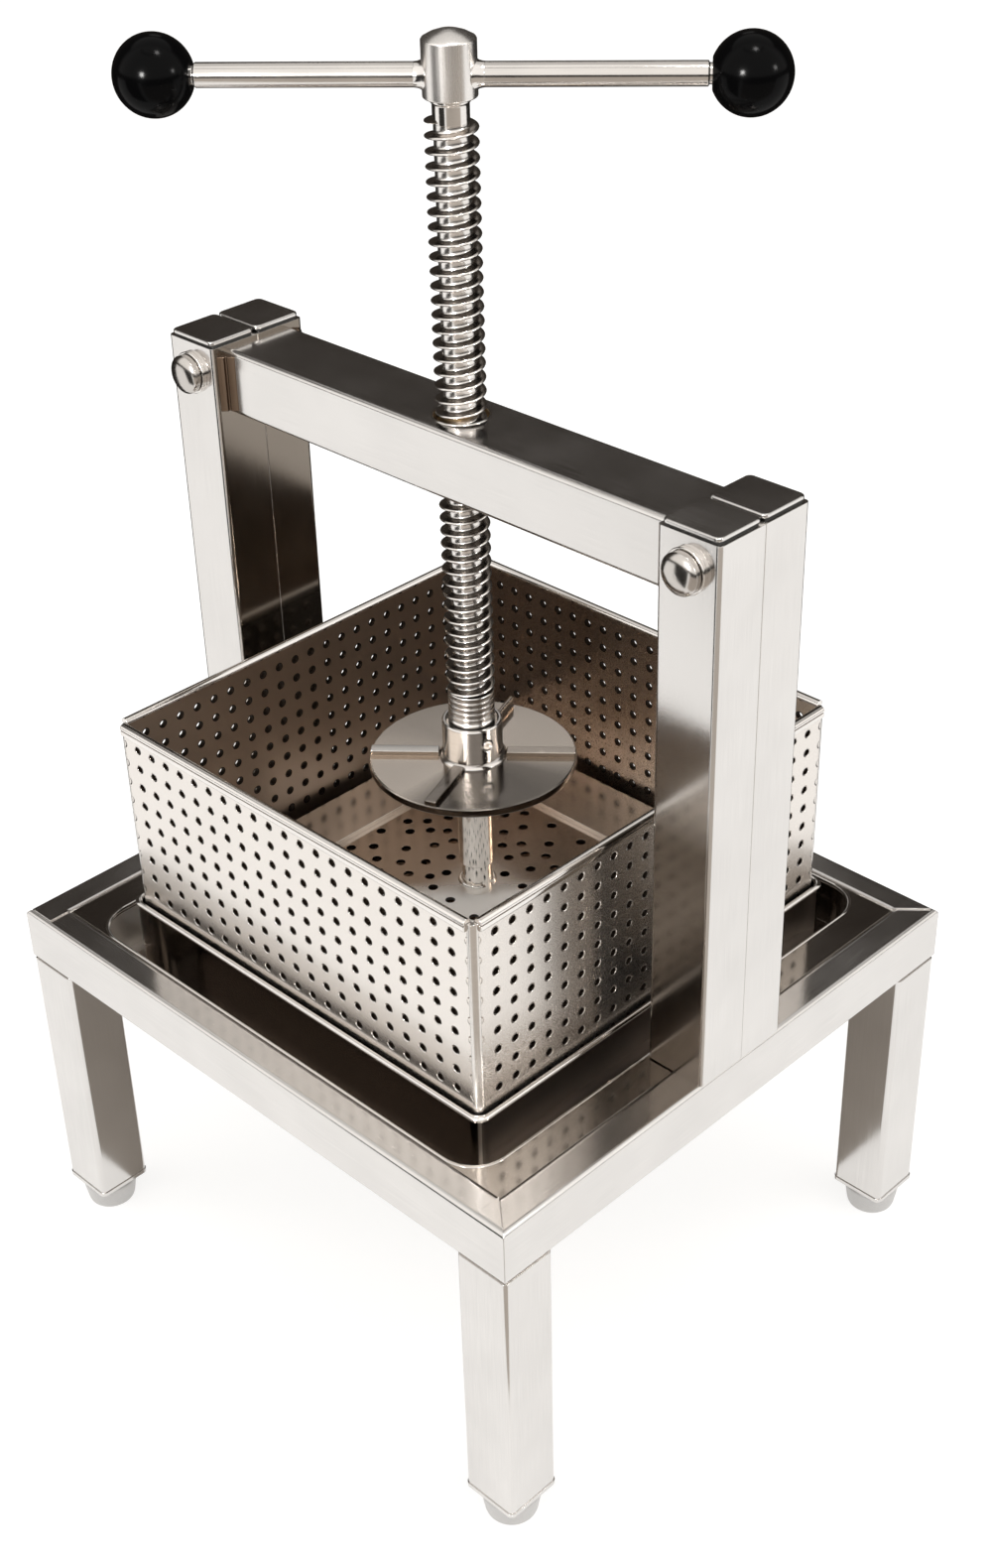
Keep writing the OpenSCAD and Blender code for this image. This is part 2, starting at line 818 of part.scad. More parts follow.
module follower_frame() {
  color("rosybrown")
    translate([0, 0, post_z])
      linear_extrude(frame_t)
        difference() {
          square([follower_w, follower_d], center = true);
          square([window_w, window_d], center = true);
        }
}

// The countersunk head of the plate's screw, widened by a clearance
module screw_head(clear) {
  rotate_extrude($fn = round_fn)
    polygon([[0, 0], [screw_head_d / 2 + clear, 0], [screw_d / 2 + clear, screw_head_h],
             [0, screw_head_h]]);
}

module follower_screw() {
  color("darkgray")
    translate([0, 0, follower_z]) {
      screw_head(0);
      cylinder(d = screw_d, h = screw_len + follower_t - screw_end_gap, $fn = round_fn);
    }
}

// A perforated wall, drawn flat: X along the wall, Y up from the basket's underside
module wall_sheet(len) {
  cols = floor((len - 2 * basket_r) / hole_pitch);
  rows = floor((basket_h - 2 * hole_margin) / hole_pitch);
  difference() {
    translate([-len / 2 + basket_r, 0])
      square([len - 2 * basket_r, wall_h]);
    for (c = [0 : cols - 1], r = [0 : rows])
      translate([(c - (cols - 1) / 2) * hole_pitch, basket_h - hole_margin - r * hole_pitch])
        circle(d = hole_d, $fn = hole_fn);
  }
}

// Stands a wall's sheet up on the basket's edge in a given direction
module basket_wall(len, out, angle) {
  color("tan")
    rotate([0, 0, angle])
      translate([0, -out, basket_z])
        rotate([90, 0, 0])
          translate([0, 0, -basket_t])
            linear_extrude(basket_t)
              wall_sheet(len);
}

// The upright folds between the walls
module basket_corners() {
  color("tan")
    for (sx = [-1, 1], sy = [-1, 1])
      translate([sx * (basket_w / 2 - basket_r), sy * (basket_d / 2 - basket_r), basket_z])
        linear_extrude(wall_h)
          intersection() {
            difference() {
              circle(r = basket_r, $fn = round_fn);
              circle(r = basket_r - basket_t, $fn = round_fn);
            }
            translate([sx > 0 ? 0 : -basket_r, sy > 0 ? 0 : -basket_r])
              square(basket_r);
          }
}

module basket_floor() {
  inner_w = basket_w - 2 * basket_t;
  inner_d = basket_d - 2 * basket_t;
  cols = floor(inner_w / floor_pitch) - 1;
  rows = floor(inner_d / floor_pitch) - 1;
  color("tan")
    translate([0, 0, basket_z])
      linear_extrude(basket_t)
        difference() {
          round_rect(inner_w, inner_d, basket_r - basket_t);
          for (c = [0 : cols - 1], r = [0 : rows - 1])
            translate([(c - (cols - 1) / 2) * floor_pitch, (r - (rows - 1) / 2) * floor_pitch])
              circle(d = hole_d, $fn = hole_fn);
        }
}

// The hem: a strip folded over each wall's edge, rounded on top and cut back at the corners
module basket_hem() {
  color("gainsboro")
    for (side = [[basket_w, basket_d, 0], [basket_d, basket_w, 90],
                 [basket_w, basket_d, 180], [basket_d, basket_w, 270]])
      rotate([0, 0, side[2]])
        translate([0, -side[1] / 2, basket_z + basket_h])
          rotate([90, 0, 90])
            linear_extrude(side[0] - 2 * basket_r, center = true) {
              intersection() {
                translate([fold_w / 2 - hem_t, -fold_r])
                  circle(r = fold_r, $fn = round_fn);
                translate([-hem_t, -fold_r])
                  square([fold_w, fold_r]);
              }
              translate([-hem_t, -hem_h])
                square([hem_t, hem_h - fold_r + fold_side_h / 2]);
            }
}

front_rail();
rear_rail();
left_rail();
right_rail();
corner_plates();
deck_pan();
drip_tray();
leg(-1, -1);  // leg_front_left
leg(1, -1);  // leg_front_right
leg(-1, 1);  // leg_rear_left
leg(1, 1);  // leg_rear_right
leg_plate(-1, -1);  // leg_plate_front_left
leg_plate(1, -1);  // leg_plate_front_right
leg_plate(-1, 1);  // leg_plate_rear_left
leg_plate(1, 1);  // leg_plate_rear_right
foot(-1, -1);  // foot_front_left
foot(1, -1);  // foot_front_right
foot(-1, 1);  // foot_rear_left
foot(1, 1);  // foot_rear_right
upright(-1, -1);  // left_front_upright
upright(-1, 1);  // left_rear_upright
upright(1, -1);  // right_front_upright
upright(1, 1);  // right_rear_upright
cap(-1, -1);  // left_front_cap
cap(-1, 1);  // left_rear_cap
cap(1, -1);  // right_front_cap
cap(1, 1);  // right_rear_cap
crossbeam();
screw_nut();
tie_bolt(-1);  // left_tie_bolt
tie_bolt(1);  // right_tie_bolt
tie_washers();
tie_nuts();
basket_wall(basket_w, basket_d / 2, 0);  // basket_front
basket_wall(basket_w, basket_d / 2, 180);  // basket_rear
basket_wall(basket_d, basket_w / 2, 270);  // basket_left
basket_wall(basket_d, basket_w / 2, 90);  // basket_right
basket_corners();
basket_floor();
basket_hem();
press_screw();
hub();
handle_bar();
knob(-1);  // left_knob
knob(1);  // right_knob
collar();
collar_weld();
thrust_washer();
set_screw();
press_disc();
disc_strips();
press_post();
retaining_ring();
follower_plate();
follower_frame();
follower_screw();
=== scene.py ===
# %% [markdown]
# # A paneer press in steel, cell by cell
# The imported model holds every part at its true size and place. This notebook dresses it: it sets
# the camera and the light, mixes the steel finishes, and rebuilds the parts whose edges, threads
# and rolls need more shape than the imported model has. All lengths are in metres, and MM turns
# a millimetre into a metre.

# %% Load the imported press
from math import atan2, cos, pi, radians, sin

import bpy
from mathutils import Matrix, Vector


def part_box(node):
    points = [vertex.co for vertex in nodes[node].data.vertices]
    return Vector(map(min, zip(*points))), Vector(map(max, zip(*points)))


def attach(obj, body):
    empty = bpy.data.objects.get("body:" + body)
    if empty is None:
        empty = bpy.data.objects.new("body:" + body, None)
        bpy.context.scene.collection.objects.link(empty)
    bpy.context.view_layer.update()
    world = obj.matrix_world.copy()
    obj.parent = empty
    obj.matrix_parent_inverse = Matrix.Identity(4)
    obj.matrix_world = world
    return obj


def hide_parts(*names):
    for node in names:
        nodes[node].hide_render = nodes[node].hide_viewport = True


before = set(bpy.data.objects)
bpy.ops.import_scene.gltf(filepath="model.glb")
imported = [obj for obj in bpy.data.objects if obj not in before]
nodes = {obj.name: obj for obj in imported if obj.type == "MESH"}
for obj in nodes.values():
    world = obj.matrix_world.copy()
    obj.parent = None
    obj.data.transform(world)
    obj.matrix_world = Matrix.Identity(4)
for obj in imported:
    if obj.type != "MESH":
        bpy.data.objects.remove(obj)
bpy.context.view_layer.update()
MM = 0.001
scene = bpy.context.scene


def heights(name):
    """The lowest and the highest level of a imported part, in millimetres."""
    low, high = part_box(name)
    return (low / MM).z, (high / MM).z


# %% [markdown]
# ## The camera
# The photograph was taken from the front right corner, looking down by about a third of a right
# angle. The place, the aim and the lens come from matching some eighty corners of the press with
# the picture. The lens is given as a focal length in pixels, and the sensor's long side
# stands for the picture's height.

# %% Set up the camera
PICTURE_H = 1580
FOCAL_PX = 2207.5
eye = Vector((758.25, -732.57, 999.2)) * MM
aim = Vector((7.67, 8.33, 318.6)) * MM
ROLL = -0.0289

camera_data = bpy.data.cameras.new("photo_camera")
camera_data.sensor_fit = "VERTICAL"
camera_data.sensor_height = 36.0
camera_data.lens = FOCAL_PX * camera_data.sensor_height / PICTURE_H
camera_data.clip_start, camera_data.clip_end = 0.05, 60.0
camera = bpy.data.objects.new("photo_camera", camera_data)
scene.collection.objects.link(camera)
forward = (aim - eye).normalized()
level_right = forward.cross(Vector((0, 0, 1))).normalized()
level_up = level_right.cross(forward)
right = cos(ROLL) * level_right + sin(ROLL) * level_up
up = -sin(ROLL) * level_right + cos(ROLL) * level_up
turn = Matrix((right, up, -forward)).transposed().to_4x4()
camera.matrix_world = Matrix.Translation(eye) @ turn
scene.camera = camera
print("lens", round(camera_data.lens, 2), "mm, distance", round((aim - eye).length, 3), "m")

# %% [markdown]
# ## Node graphs in few words
# Every finish is a graph of shader nodes. One helper adds a node and fills its inputs, with sockets
# or with plain values. The others give the socket that a sum, a range, a blend or a ramp ends in.

# %% Helpers for node graphs
def plug(tree, socket, value):
    """Links an output to a socket, or writes a number, a vector or a colour into it."""
    if isinstance(value, bpy.types.NodeSocket):
        tree.links.new(value, socket)
    else:
        socket.default_value = (*value, 1) if socket.type == "RGBA" else value


def node(tree, kind, inputs=None, **settings):
    """Adds a node with its settings and inputs; in the editor they stand eight in a row."""
    made = tree.nodes.new("ShaderNode" + kind)
    row, column = divmod(len(tree.nodes), 8)
    made.location = (220 * column, -320 * row)
    for key, value in settings.items():
        setattr(made, key, value)
    for key, value in (inputs or {}).items():
        plug(tree, made.inputs[key], value)
    return made


def maths(tree, operation, *values, clamp=False):
    return node(tree, "Math", dict(enumerate(values)), operation=operation,
                use_clamp=clamp).outputs["Value"]


def spread(tree, value, low, high, to=(0.0, 1.0), smooth=False):
    """Maps the range from low to high onto another, in a straight line or a soft step."""
    return node(tree, "MapRange",
                {"Value": value, "From Min": low, "From Max": high, "To Min": to[0],
                 "To Max": to[1]},
                interpolation_type="SMOOTHSTEP" if smooth else "LINEAR").outputs["Result"]


def mixed(tree, amount, first, second, kind="MIX"):
    """The first colour, with the second laid over it by amount."""
    return node(tree, "Mix", {"Factor": amount, "A": first, "B": second},
                data_type="RGBA", blend_type=kind).outputs["Result"]


def noise(tree, vector, scale, detail):
    return node(tree, "TexNoise", {"Vector": vector, "Scale": scale,
                                   "Detail": detail}).outputs["Fac"]


def ramp(tree, value, stops):
    """A colour ramp over a value; stops are (place, colour) from 0 to 1."""
    made = node(tree, "ValToRGB", {"Fac": value})
    points = made.color_ramp.elements
    points[0].position, points[1].position = stops[0][0], stops[-1][0]
    for place, colour in stops[1:-1]:
        points.new(place)
    for point, (place, colour) in zip(points, stops):
        point.color = (*colour, 1.0)
    return made.outputs["Color"]


def axes_of(tree, vector):
    return node(tree, "SeparateXYZ", {"Vector": vector}).outputs


def own_place(tree):
    """The place of a point in its object's own axes, as a vector."""
    return node(tree, "TexCoord").outputs["Object"]


def own_axes(tree):
    return axes_of(tree, own_place(tree))


def facing_axes(tree, kind="True Normal"):
    return axes_of(tree, node(tree, "NewGeometry").outputs[kind])


def new_material(name):
    made = bpy.data.materials.new(name)
    made.use_nodes = True
    return made


def coat(finish, inputs):
    """Fills inputs of the material's surface shader."""
    surface = finish.node_tree.nodes["Principled BSDF"]
    for key, value in inputs.items():
        plug(finish.node_tree, surface.inputs[key], value)
    return finish


def fed_by(finish, key):
    """The socket that feeds an input of the surface shader at this moment."""
    return finish.node_tree.nodes["Principled BSDF"].inputs[key].links[0].from_socket


print("node helpers ready")

# %% [markdown]
# ## The studio
# Bare steel shows nothing of its own colour: it shows the room. In the photograph the upright
# faces mirror a white floor and the level faces mirror a dark, warm room, with a soft light high
# over it. So the room is built that way: a white floor, a sky whose brightness
# changes with the height above the horizon, and soft lights that don't show in the reflections.

# %% The room as a sky
world = bpy.data.worlds.new("studio_room")
scene.world = world
world.use_nodes = True
sky = world.node_tree
sky.nodes.clear()
WHITE = (1.0, 0.995, 0.985)


def times(a, b):
    return maths(sky, "MULTIPLY", a, b)


def less(a, b):
    return maths(sky, "SUBTRACT", a, b)


def rises(value, low, high):
    """0 below low and 1 above high, with a soft step between."""
    return spread(sky, value, low, high, smooth=True)


# The axes are turned so that Y runs from the photographer to the press, and X to the right
direction = node(sky, "TexCoord").outputs["Generated"]
heading = -atan2(-(aim - eye).x, (aim - eye).y)
turned_axes = node(sky, "Mapping", {"Vector": direction, "Rotation": (0, 0, heading)},
                   vector_type="VECTOR")
sideways, away, upward = axes_of(sky, turned_axes.outputs["Vector"])

# The photographer's side is bright from just above the horizon, and the far side only overhead
near_glow = times(less(1.0, rises(away, 0.05, 0.35)), rises(upward, 0.04, 0.11))
high_glow = times(rises(upward, 0.69, 0.72), 0.62)
# One soft window hangs behind the press, from 30 to 39 degrees above the horizon
window = times(less(rises(upward, 0.49, 0.53), rises(upward, 0.60, 0.64)),
               less(1.0, rises(maths(sky, "ABSOLUTE", sideways), 0.08, 0.14)))
window = times(times(window, rises(away, 0.2, 0.4)), 0.55)
bright = maths(sky, "MAXIMUM", maths(sky, "MAXIMUM", near_glow, high_glow), window)
# A narrow gap between the two ceiling lights draws the thin line along the top of the bar
gap = times(less(rises(upward, 0.91, 0.925), rises(upward, 0.945, 0.96)),
            less(1.0, rises(away, -0.1, 0.1)))
bright = times(bright, less(1.0, times(gap, 0.6)))
tone = mixed(sky, bright, (0.040, 0.034, 0.029), (1.25, 1.22, 1.18))
# The camera itself sees plain white behind the press, whichever way it looks
seen = node(sky, "LightPath").outputs["Is Camera Ray"]
glow = node(sky, "Background", {"Color": mixed(sky, seen, tone, WHITE)})
node(sky, "OutputWorld", {"Surface": glow.outputs["Background"]})
print("sky:", len(sky.nodes), "nodes")

# %% The floor and the soft lights
def nothing_selected():
    if bpy.context.object and bpy.context.object.mode != "OBJECT":
        bpy.ops.object.mode_set(mode="OBJECT")
    bpy.ops.object.select_all(action="DESELECT")


def named(name):
    """Names the object just added, and writes its place, turn and size into its mesh."""
    made = bpy.context.object
    made.name = made.data.name = name
    bpy.ops.object.transform_apply(location=True, rotation=True, scale=True)
    return made


nothing_selected()
bpy.ops.mesh.primitive_plane_add(size=14.0, location=(0, 0, 0))
floor = named("white_floor")
paper = coat(new_material("white_paper"), {"Base Color": (0.36, 0.36, 0.36), "Roughness": 0.9,
                                           "Specular IOR Level": 0.0, "Emission Color": WHITE,
                                           "Emission Strength": 0.76})
floor.data.materials.append(paper)


def soft_light(name, place, aim_z, size, power, in_reflections=False):
    """A square lamp that is aimed at a height on the screw's axis."""
    data = bpy.data.lights.new(name, "AREA")
    data.shape = "RECTANGLE"
    data.size = data.size_y = size
    data.energy = power
    data.color = (1.0, 0.985, 0.965)
    lamp = bpy.data.objects.new(name, data)
    lamp.location = place
    to_aim = Vector((0, 0, aim_z)) - Vector(place)
    lamp.rotation_euler = to_aim.to_track_quat("-Z", "Y").to_euler()
    lamp.visible_glossy = in_reflections
    scene.collection.objects.link(lamp)
    return lamp


soft_light("key_left", (-2.2, -2.4, 2.6), 0.3, 2.2, 22)
soft_light("fill_right", (2.8, 1.6, 2.4), 0.3, 2.2, 18)
soft_light("top_sheet", (0.2, 0.2, 3.2), 0.0, 3.0, 20)
scene.view_settings.view_transform = "Standard"
print("floor and", len(bpy.data.lights), "soft lights")

# %% [markdown]
# ## Cards for the reflections
# A steel edge is only readable when something dark stands beside the white. A photographer lays
# black cards just outside the picture, so that the rounded edges pick up a dark line while the
# flat faces still mirror the white floor. The cards here are seen in reflections only, just above
# the floor. Black ones lie on the left, far in front and on the far side. A pale one lies close in
# front and a grey one under the table, where the photograph shows only a warm grey.

# %% Lay the cards
CARD_Z = 2.0 * MM
card_black, card_grey, card_pale = (
    coat(new_material(name), {"Base Color": (shade, shade * 0.92, shade * 0.84), "Roughness": 1.0,
                              "Specular IOR Level": 0.0})
    for name, shade in (("black_card", 0.02), ("grey_card", 0.42), ("pale_card", 0.48)))


def flag(name, corners, card):
    """A card through the corners, given in metres on the floor."""
    nothing_selected()
    bpy.ops.mesh.primitive_circle_add(vertices=len(corners), radius=1, fill_type="NGON",
                                      location=(0, 0, CARD_Z))
    made = named(name)
    for corner, (x, y) in zip(made.data.vertices, corners):
        corner.co = (x, y, CARD_Z)
    made.data.materials.append(card)
    made.visible_camera = made.visible_diffuse = made.visible_shadow = False
    made.visible_transmission = made.visible_volume_scatter = False


def plan(across, towards):
    """A place on the floor: metres to the picture's right, and towards the photographer."""
    to_eye = (eye - aim).to_2d().normalized()
    to_right = Vector((-to_eye.y, to_eye.x))
    place = to_right * across + to_eye * towards
    return place.x, place.y


for name, card, corners in (
        ("flag_near_left", card_black, [(-0.34, 0.40), (-1.0, 0.29), (-9.5, 1.9), (-6.4, 8.0)]),
        ("flag_near", card_pale, [(0.06, 0.36), (-0.30, 0.50), (-1.62, 2.9), (2.9, 2.9),
                                  (2.9, 1.65), (0.95, 0.55), (0.35, 0.42)]),
        ("flag_near_end", card_black, [(-1.62, 2.9), (-5.2, 9.5), (9.5, 9.5), (9.5, 5.1),
                                       (2.9, 1.65), (2.9, 2.9)]),
        ("flag_far_left", card_black, [(-0.0, -0.32), (-0.30, -0.24), (-1.3, -0.47),
                                       (-9.5, -2.7), (-9.5, -9.5), (0.0, -9.5)]),
        ("flag_far_right", card_black, [(0.0, -0.32), (0.0, -9.5), (9.5, -9.5), (9.5, -2.7),
                                        (1.3, -0.42), (0.30, -0.24)])):
    flag(name, [plan(*corner) for corner in corners], card)
flag("flag_under_table", [(-0.15, -0.15), (0.15, -0.15), (0.15, 0.15), (-0.15, 0.15)], card_grey)

# %% [markdown]
# ## Three small lamps
# The black balls show only what is very bright. Three small lamps, one beside the camera, one
# overhead and one to the right, give each ball a clear soft spot and two faint ones. Matt
# surfaces don't see them, so they light nothing else.

# %% Hang the small lamps
for name, (across, towards, level), size, power in (
        ("spot_beside_camera", (-0.87, 1.55, 1.19), 0.30, 55),
        ("spot_overhead", (0.26, 0.30, 2.17), 0.22, 6),
        ("spot_right", (1.38, 0.67, 1.18), 0.22, 5)):
    spot = soft_light(name, (*plan(across, towards), level), 0.72, size, power,
                      in_reflections=True)
    spot.visible_diffuse = False
print("lamps:", [lamp.name for lamp in bpy.data.lights])

# %% [markdown]
# ## Steel with a grain
# Sheet and tube steel is finished on a belt, so its surface is made of fine scratches that all run
# one way. The recipe is a noise pattern squeezed hard across the grain and stretched along it. It
# moves the roughness a little, tints the colour a little, and gives a very shallow bump. A second,
# slow pattern gives the faint clouds of handling. A narrow edge is rounded in the
# shading only, which gives the thin bright line that every bent edge has in the photograph.

# %% Mix a steel finish
STRETCH = 0.012
EDGE_R = 0.5 * MM


def steel(name, colour, rough, grain=(1, 1, 1), grain_size=2600.0, bump=0.06, cloud=0.05):
    """A brushed steel whose grain runs along the axis where grain is 0."""
    made = new_material(name)
    tree = made.node_tree
    where = own_place(tree)
    scale = [grain_size * (g if g else STRETCH) for g in grain]
    squeezed = node(tree, "Mapping", {"Vector": where, "Scale": scale})
    scratch = noise(tree, squeezed.outputs["Vector"], 1.0, 3.0)
    slow = noise(tree, where, 22.0, 2.0)
    gloss = spread(tree, scratch, 0.0, 1.0, (rough - 0.05, rough + 0.05))
    haze = spread(tree, slow, 0.0, 1.0, (-cloud, cloud))
    low = [c * (1 - 1.6 * cloud) for c in colour]
    high = [min(1.0, c * (1 + 0.8 * cloud)) for c in colour]
    both = maths(tree, "MULTIPLY_ADD", scratch, 0.5, maths(tree, "MULTIPLY", slow, 0.5))
    soft_edge = node(tree, "Bevel", {"Radius": EDGE_R}, samples=4)
    relief = node(tree, "Bump", {"Strength": bump, "Distance": 0.0002, "Height": scratch,
                                 "Normal": soft_edge.outputs["Normal"]})
    return coat(made, {"Metallic": 1.0, "IOR": 2.5,
                       "Roughness": maths(tree, "ADD", gloss, haze, clamp=True),
                       "Base Color": ramp(tree, both, [(0.3, low), (0.7, high)]),
                       "Normal": relief.outputs["Normal"]})


ALONG_X, ALONG_Y, ALONG_Z, LEVEL = (0, 1, 1), (1, 0, 1), (1, 1, 0), (0, 0, 1)
SATIN = (0.70, 0.68, 0.66)
along_x = steel("satin_steel_along_x", SATIN, 0.16, ALONG_X)
along_y = steel("satin_steel_along_y", SATIN, 0.16, ALONG_Y)
along_z = steel("satin_steel_along_z", SATIN, 0.14, ALONG_Z)
sheet_steel = steel("basket_sheet_steel", (0.74, 0.71, 0.68), 0.22, LEVEL, bump=0.03)
turned_steel = steel("bright_turned_steel", (0.76, 0.73, 0.70), 0.13, LEVEL, bump=0.03)
post_steel = steel("polished_post_steel", (0.92, 0.89, 0.85), 0.10, ALONG_Z, bump=0.03)
bar_steel = steel("cross_bar_steel", (0.67, 0.64, 0.61), 0.13, LEVEL, bump=0.02)
hub_steel = steel("soft_hub_steel", (0.80, 0.77, 0.74), 0.27, ALONG_Z, bump=0.05)
bolt_steel = steel("dull_bolt_steel", (0.56, 0.53, 0.50), 0.17, ALONG_Y, bump=0.03)
# A dark copy of the tube steel: painted shade for the faces towards the screw
tube_inside = steel("painted_shade_tube_steel", (0.22, 0.19, 0.16), 0.14, ALONG_Z, bump=0.03)
# A dark copy of the steel for the tray: painted shade
tray_steel = steel("dark_drawn_steel", (0.24, 0.21, 0.19), 0.09, bump=0.002, cloud=0.02)
rim_steel = steel("bright_rim_steel", (0.80, 0.77, 0.74), 0.10, LEVEL, bump=0.01)
shaded_steel = steel("shaded_rim_steel", (0.20, 0.165, 0.135), 0.16, LEVEL, bump=0.02)
browned = steel("heat_browned_steel", (0.17, 0.12, 0.085), 0.30, ALONG_Z, bump=0.08, cloud=0.12)
print("steels:", [m.name for m in bpy.data.materials])

# %% [markdown]
# ## Tones that are painted in
# Some light and dark areas of the photograph are mirror images in the steel, and they don't come
# out the same in this room. They are painted into the colour of the finish where the photograph
# shows them. A painted tone stays on its face from every side, as a real mirror image would not,
# so it is used only where a plain finish is clearly off.

# %% Paint a tone into a finish
def paint(finish, amount, colour, kind="MIX"):
    """Lays a colour over the finish's own colour by amount."""
    return coat(finish, {"Base Color": mixed(finish.node_tree, amount, fed_by(finish, "Base Color"),
                                             colour, kind)})


def shade(finish, value, stops):
    """Multiplies the finish's own colour by a ramp over a value."""
    return paint(finish, 1.0, ramp(finish.node_tree, value, stops), kind="MULTIPLY")


def dull(finish, amount, rough):
    """Adds roughness by amount."""
    return coat(finish, {"Roughness": maths(finish.node_tree, "MULTIPLY_ADD", amount, rough,
                                            fed_by(finish, "Roughness"))})


def painted_light_region(finish, weights, low, high, colour, rough, mirrored=False, below=None, matt=0.0):
    """Paints light into a region, paler and duller, as the photograph shows it.

    It starts where the weighted sum of X, Y and Z, in millimetres, passes from low to high."""
    tree = finish.node_tree
    axes = own_axes(tree)
    reach = 0.0
    for axis, weight in zip(axes, weights):
        if weight:
            side = maths(tree, "ABSOLUTE", axis) if mirrored else axis
            reach = maths(tree, "MULTIPLY_ADD", side, weight, reach)
    amount = spread(tree, reach, low * MM, high * MM, smooth=True)
    if below:
        amount = maths(tree, "MULTIPLY", amount, maths(tree, "LESS_THAN", axes["Z"], below * MM))
    if matt:
        coat(finish, {"Metallic": maths(tree, "MULTIPLY_ADD", amount, -matt, 1.0)})
    return dull(paint(finish, amount, colour), amount, rough)


def low_shade(finish, low, high):
    """Paints shade into a face towards its foot, between two heights in millimetres."""
    tree = finish.node_tree
    lift = spread(tree, own_axes(tree)["Z"], low * MM, high * MM, smooth=True)
    return shade(finish, lift, [(0.0, (0.30, 0.27, 0.24)), (1.0, (1, 1, 1))])


def thread_painted_shade(finish):
    """Paints shade into the faces that look down, and a little into those that look up."""
    tree = finish.node_tree
    tilt = spread(tree, facing_axes(tree, "Normal")["Z"], -1.0, 1.0)
    return shade(finish, tilt, [(0.0, (0.06, 0.05, 0.04)), (0.13, (0.10, 0.085, 0.07)),
                                (0.28, (1, 1, 1)), (0.82, (1, 1, 1)), (0.95, (0.60, 0.56, 0.52))])


def painted_disc_fans(finish, turn):
    """Paints the light and dark fans that the faced disc reflects, a painted reflection, and lets
    its highlights follow the lathe.
    """
    tree = finish.node_tree
    around = node(tree, "Tangent", direction_type="RADIAL", axis="Z")
    coat(finish, {"Tangent": around.outputs["Tangent"], "Anisotropic": 0.8})
    turned_about = node(tree, "Mapping", {"Vector": own_place(tree),
                                          "Rotation": (0, 0, radians(turn))})
    fan = node(tree, "TexGradient", {"Vector": turned_about.outputs["Vector"]},
               gradient_type="RADIAL")
    fans = [(0.0, 1.0), (0.12, 0.95), (0.17, 0.38), (0.21, 0.17), (0.36, 0.24), (0.42, 0.36),
            (0.48, 0.80), (0.52, 1.0), (0.66, 1.0), (0.78, 0.75), (0.88, 0.75), (0.97, 0.95),
            (1.0, 1.0)]
    return shade(finish, fan.outputs["Fac"], [(at, (tone, tone * 0.98, tone * 0.96))
                                              for at, tone in fans])


# The pan's steel is a darker copy as painted shade, and its two ends are painted light
pan_steel = painted_light_region(steel("deep_pan_steel", (0.45, 0.41, 0.37), 0.12, ALONG_Y, bump=0.02),
                        (1, 0, 0), 146, 158, (0.95, 0.91, 0.86), 0.30, mirrored=True, below=226)
# Painted light: the follower frame turns paler and duller towards its front corner
follower_steel = painted_light_region(
    steel("follower_strip_steel", (0.70, 0.66, 0.62), 0.20, LEVEL, bump=0.02),
    (1, -1, 0), 60, 140, (0.92, 0.90, 0.87), 0.30, matt=0.6)
thread_steel = thread_painted_shade(steel("rolled_thread_steel", (0.79, 0.76, 0.73), 0.21, LEVEL,
                                 bump=0.02))
disc_steel = painted_disc_fans(steel("faced_disc_steel", (0.86, 0.79, 0.72), 0.16, ALONG_Z, bump=0.02),
                       -45)
# Painted shade towards the foot of the right front tube's front face
tube_shaded = low_shade(steel("shaded_tube_steel", SATIN, 0.14, ALONG_Z), 372, 415)
print("finishes:", len(bpy.data.materials))

# %% Finishes that aren't steel
def plain(name, colour, rough, metallic=0.0):
    """A plastic or a bronze with a faint speckle."""
    made = new_material(name)
    tree = made.node_tree
    speck = noise(tree, own_place(tree), 900.0, 3.0)
    return coat(made, {"Metallic": metallic,
                       "Base Color": ramp(tree, speck, [(0.3, [c * 0.92 for c in colour]),
                                                        (0.7, colour)]),
                       "Roughness": spread(tree, speck, 0.0, 1.0,
                                           (max(0.02, rough - 0.03), rough + 0.03))})


grey_plastic = plain("grey_foot_plastic", (0.50, 0.49, 0.48), 0.42)
black_gloss = plain("black_knob_plastic", (0.0022, 0.0022, 0.0024), 0.16)
coat(black_gloss, {"Specular IOR Level": 0.05})
# A plug under each lid; its near-black colour is painted shade for the gap under the lid
plug_dark = plain("plastic_plug_gap_shade", (0.012, 0.011, 0.010), 0.5)
bronze = plain("bearing_bronze", (0.55, 0.38, 0.19), 0.30, metallic=1.0)
print("other finishes: plastic, knob, plug, bronze")

# %% [markdown]
# ## Sheet with holes
# A punched hole in a polished sheet shows as a dark disc with a thin bright rim. The punch draws
# the sheet down a little round the hole, and that slope catches the light. The shader finds the
# nearest hole from the known pitch, lets the height fall away within a millimetre of its edge, and
# paints shade on the hole's own wall, whose true normal lies in the plane of the sheet. The inner
# sides get a painted brown shade, with a painted dark ring round each hole, as the photograph shows
# them.

# %% Mix the punched sheet
def dark_bores(finish, axis):
    """Paints shade on the walls of holes, found where the true normal has little along the sheet's
    axis.
    """
    tree = finish.node_tree
    bore = maths(tree, "LESS_THAN", maths(tree, "ABSOLUTE", facing_axes(tree)[axis]), 0.5)
    rough = maths(tree, "MAXIMUM", fed_by(finish, "Roughness"),
                  maths(tree, "MULTIPLY", bore, 0.6))
    return coat(paint(finish, bore, (0.020, 0.014, 0.010)), {"Roughness": rough})


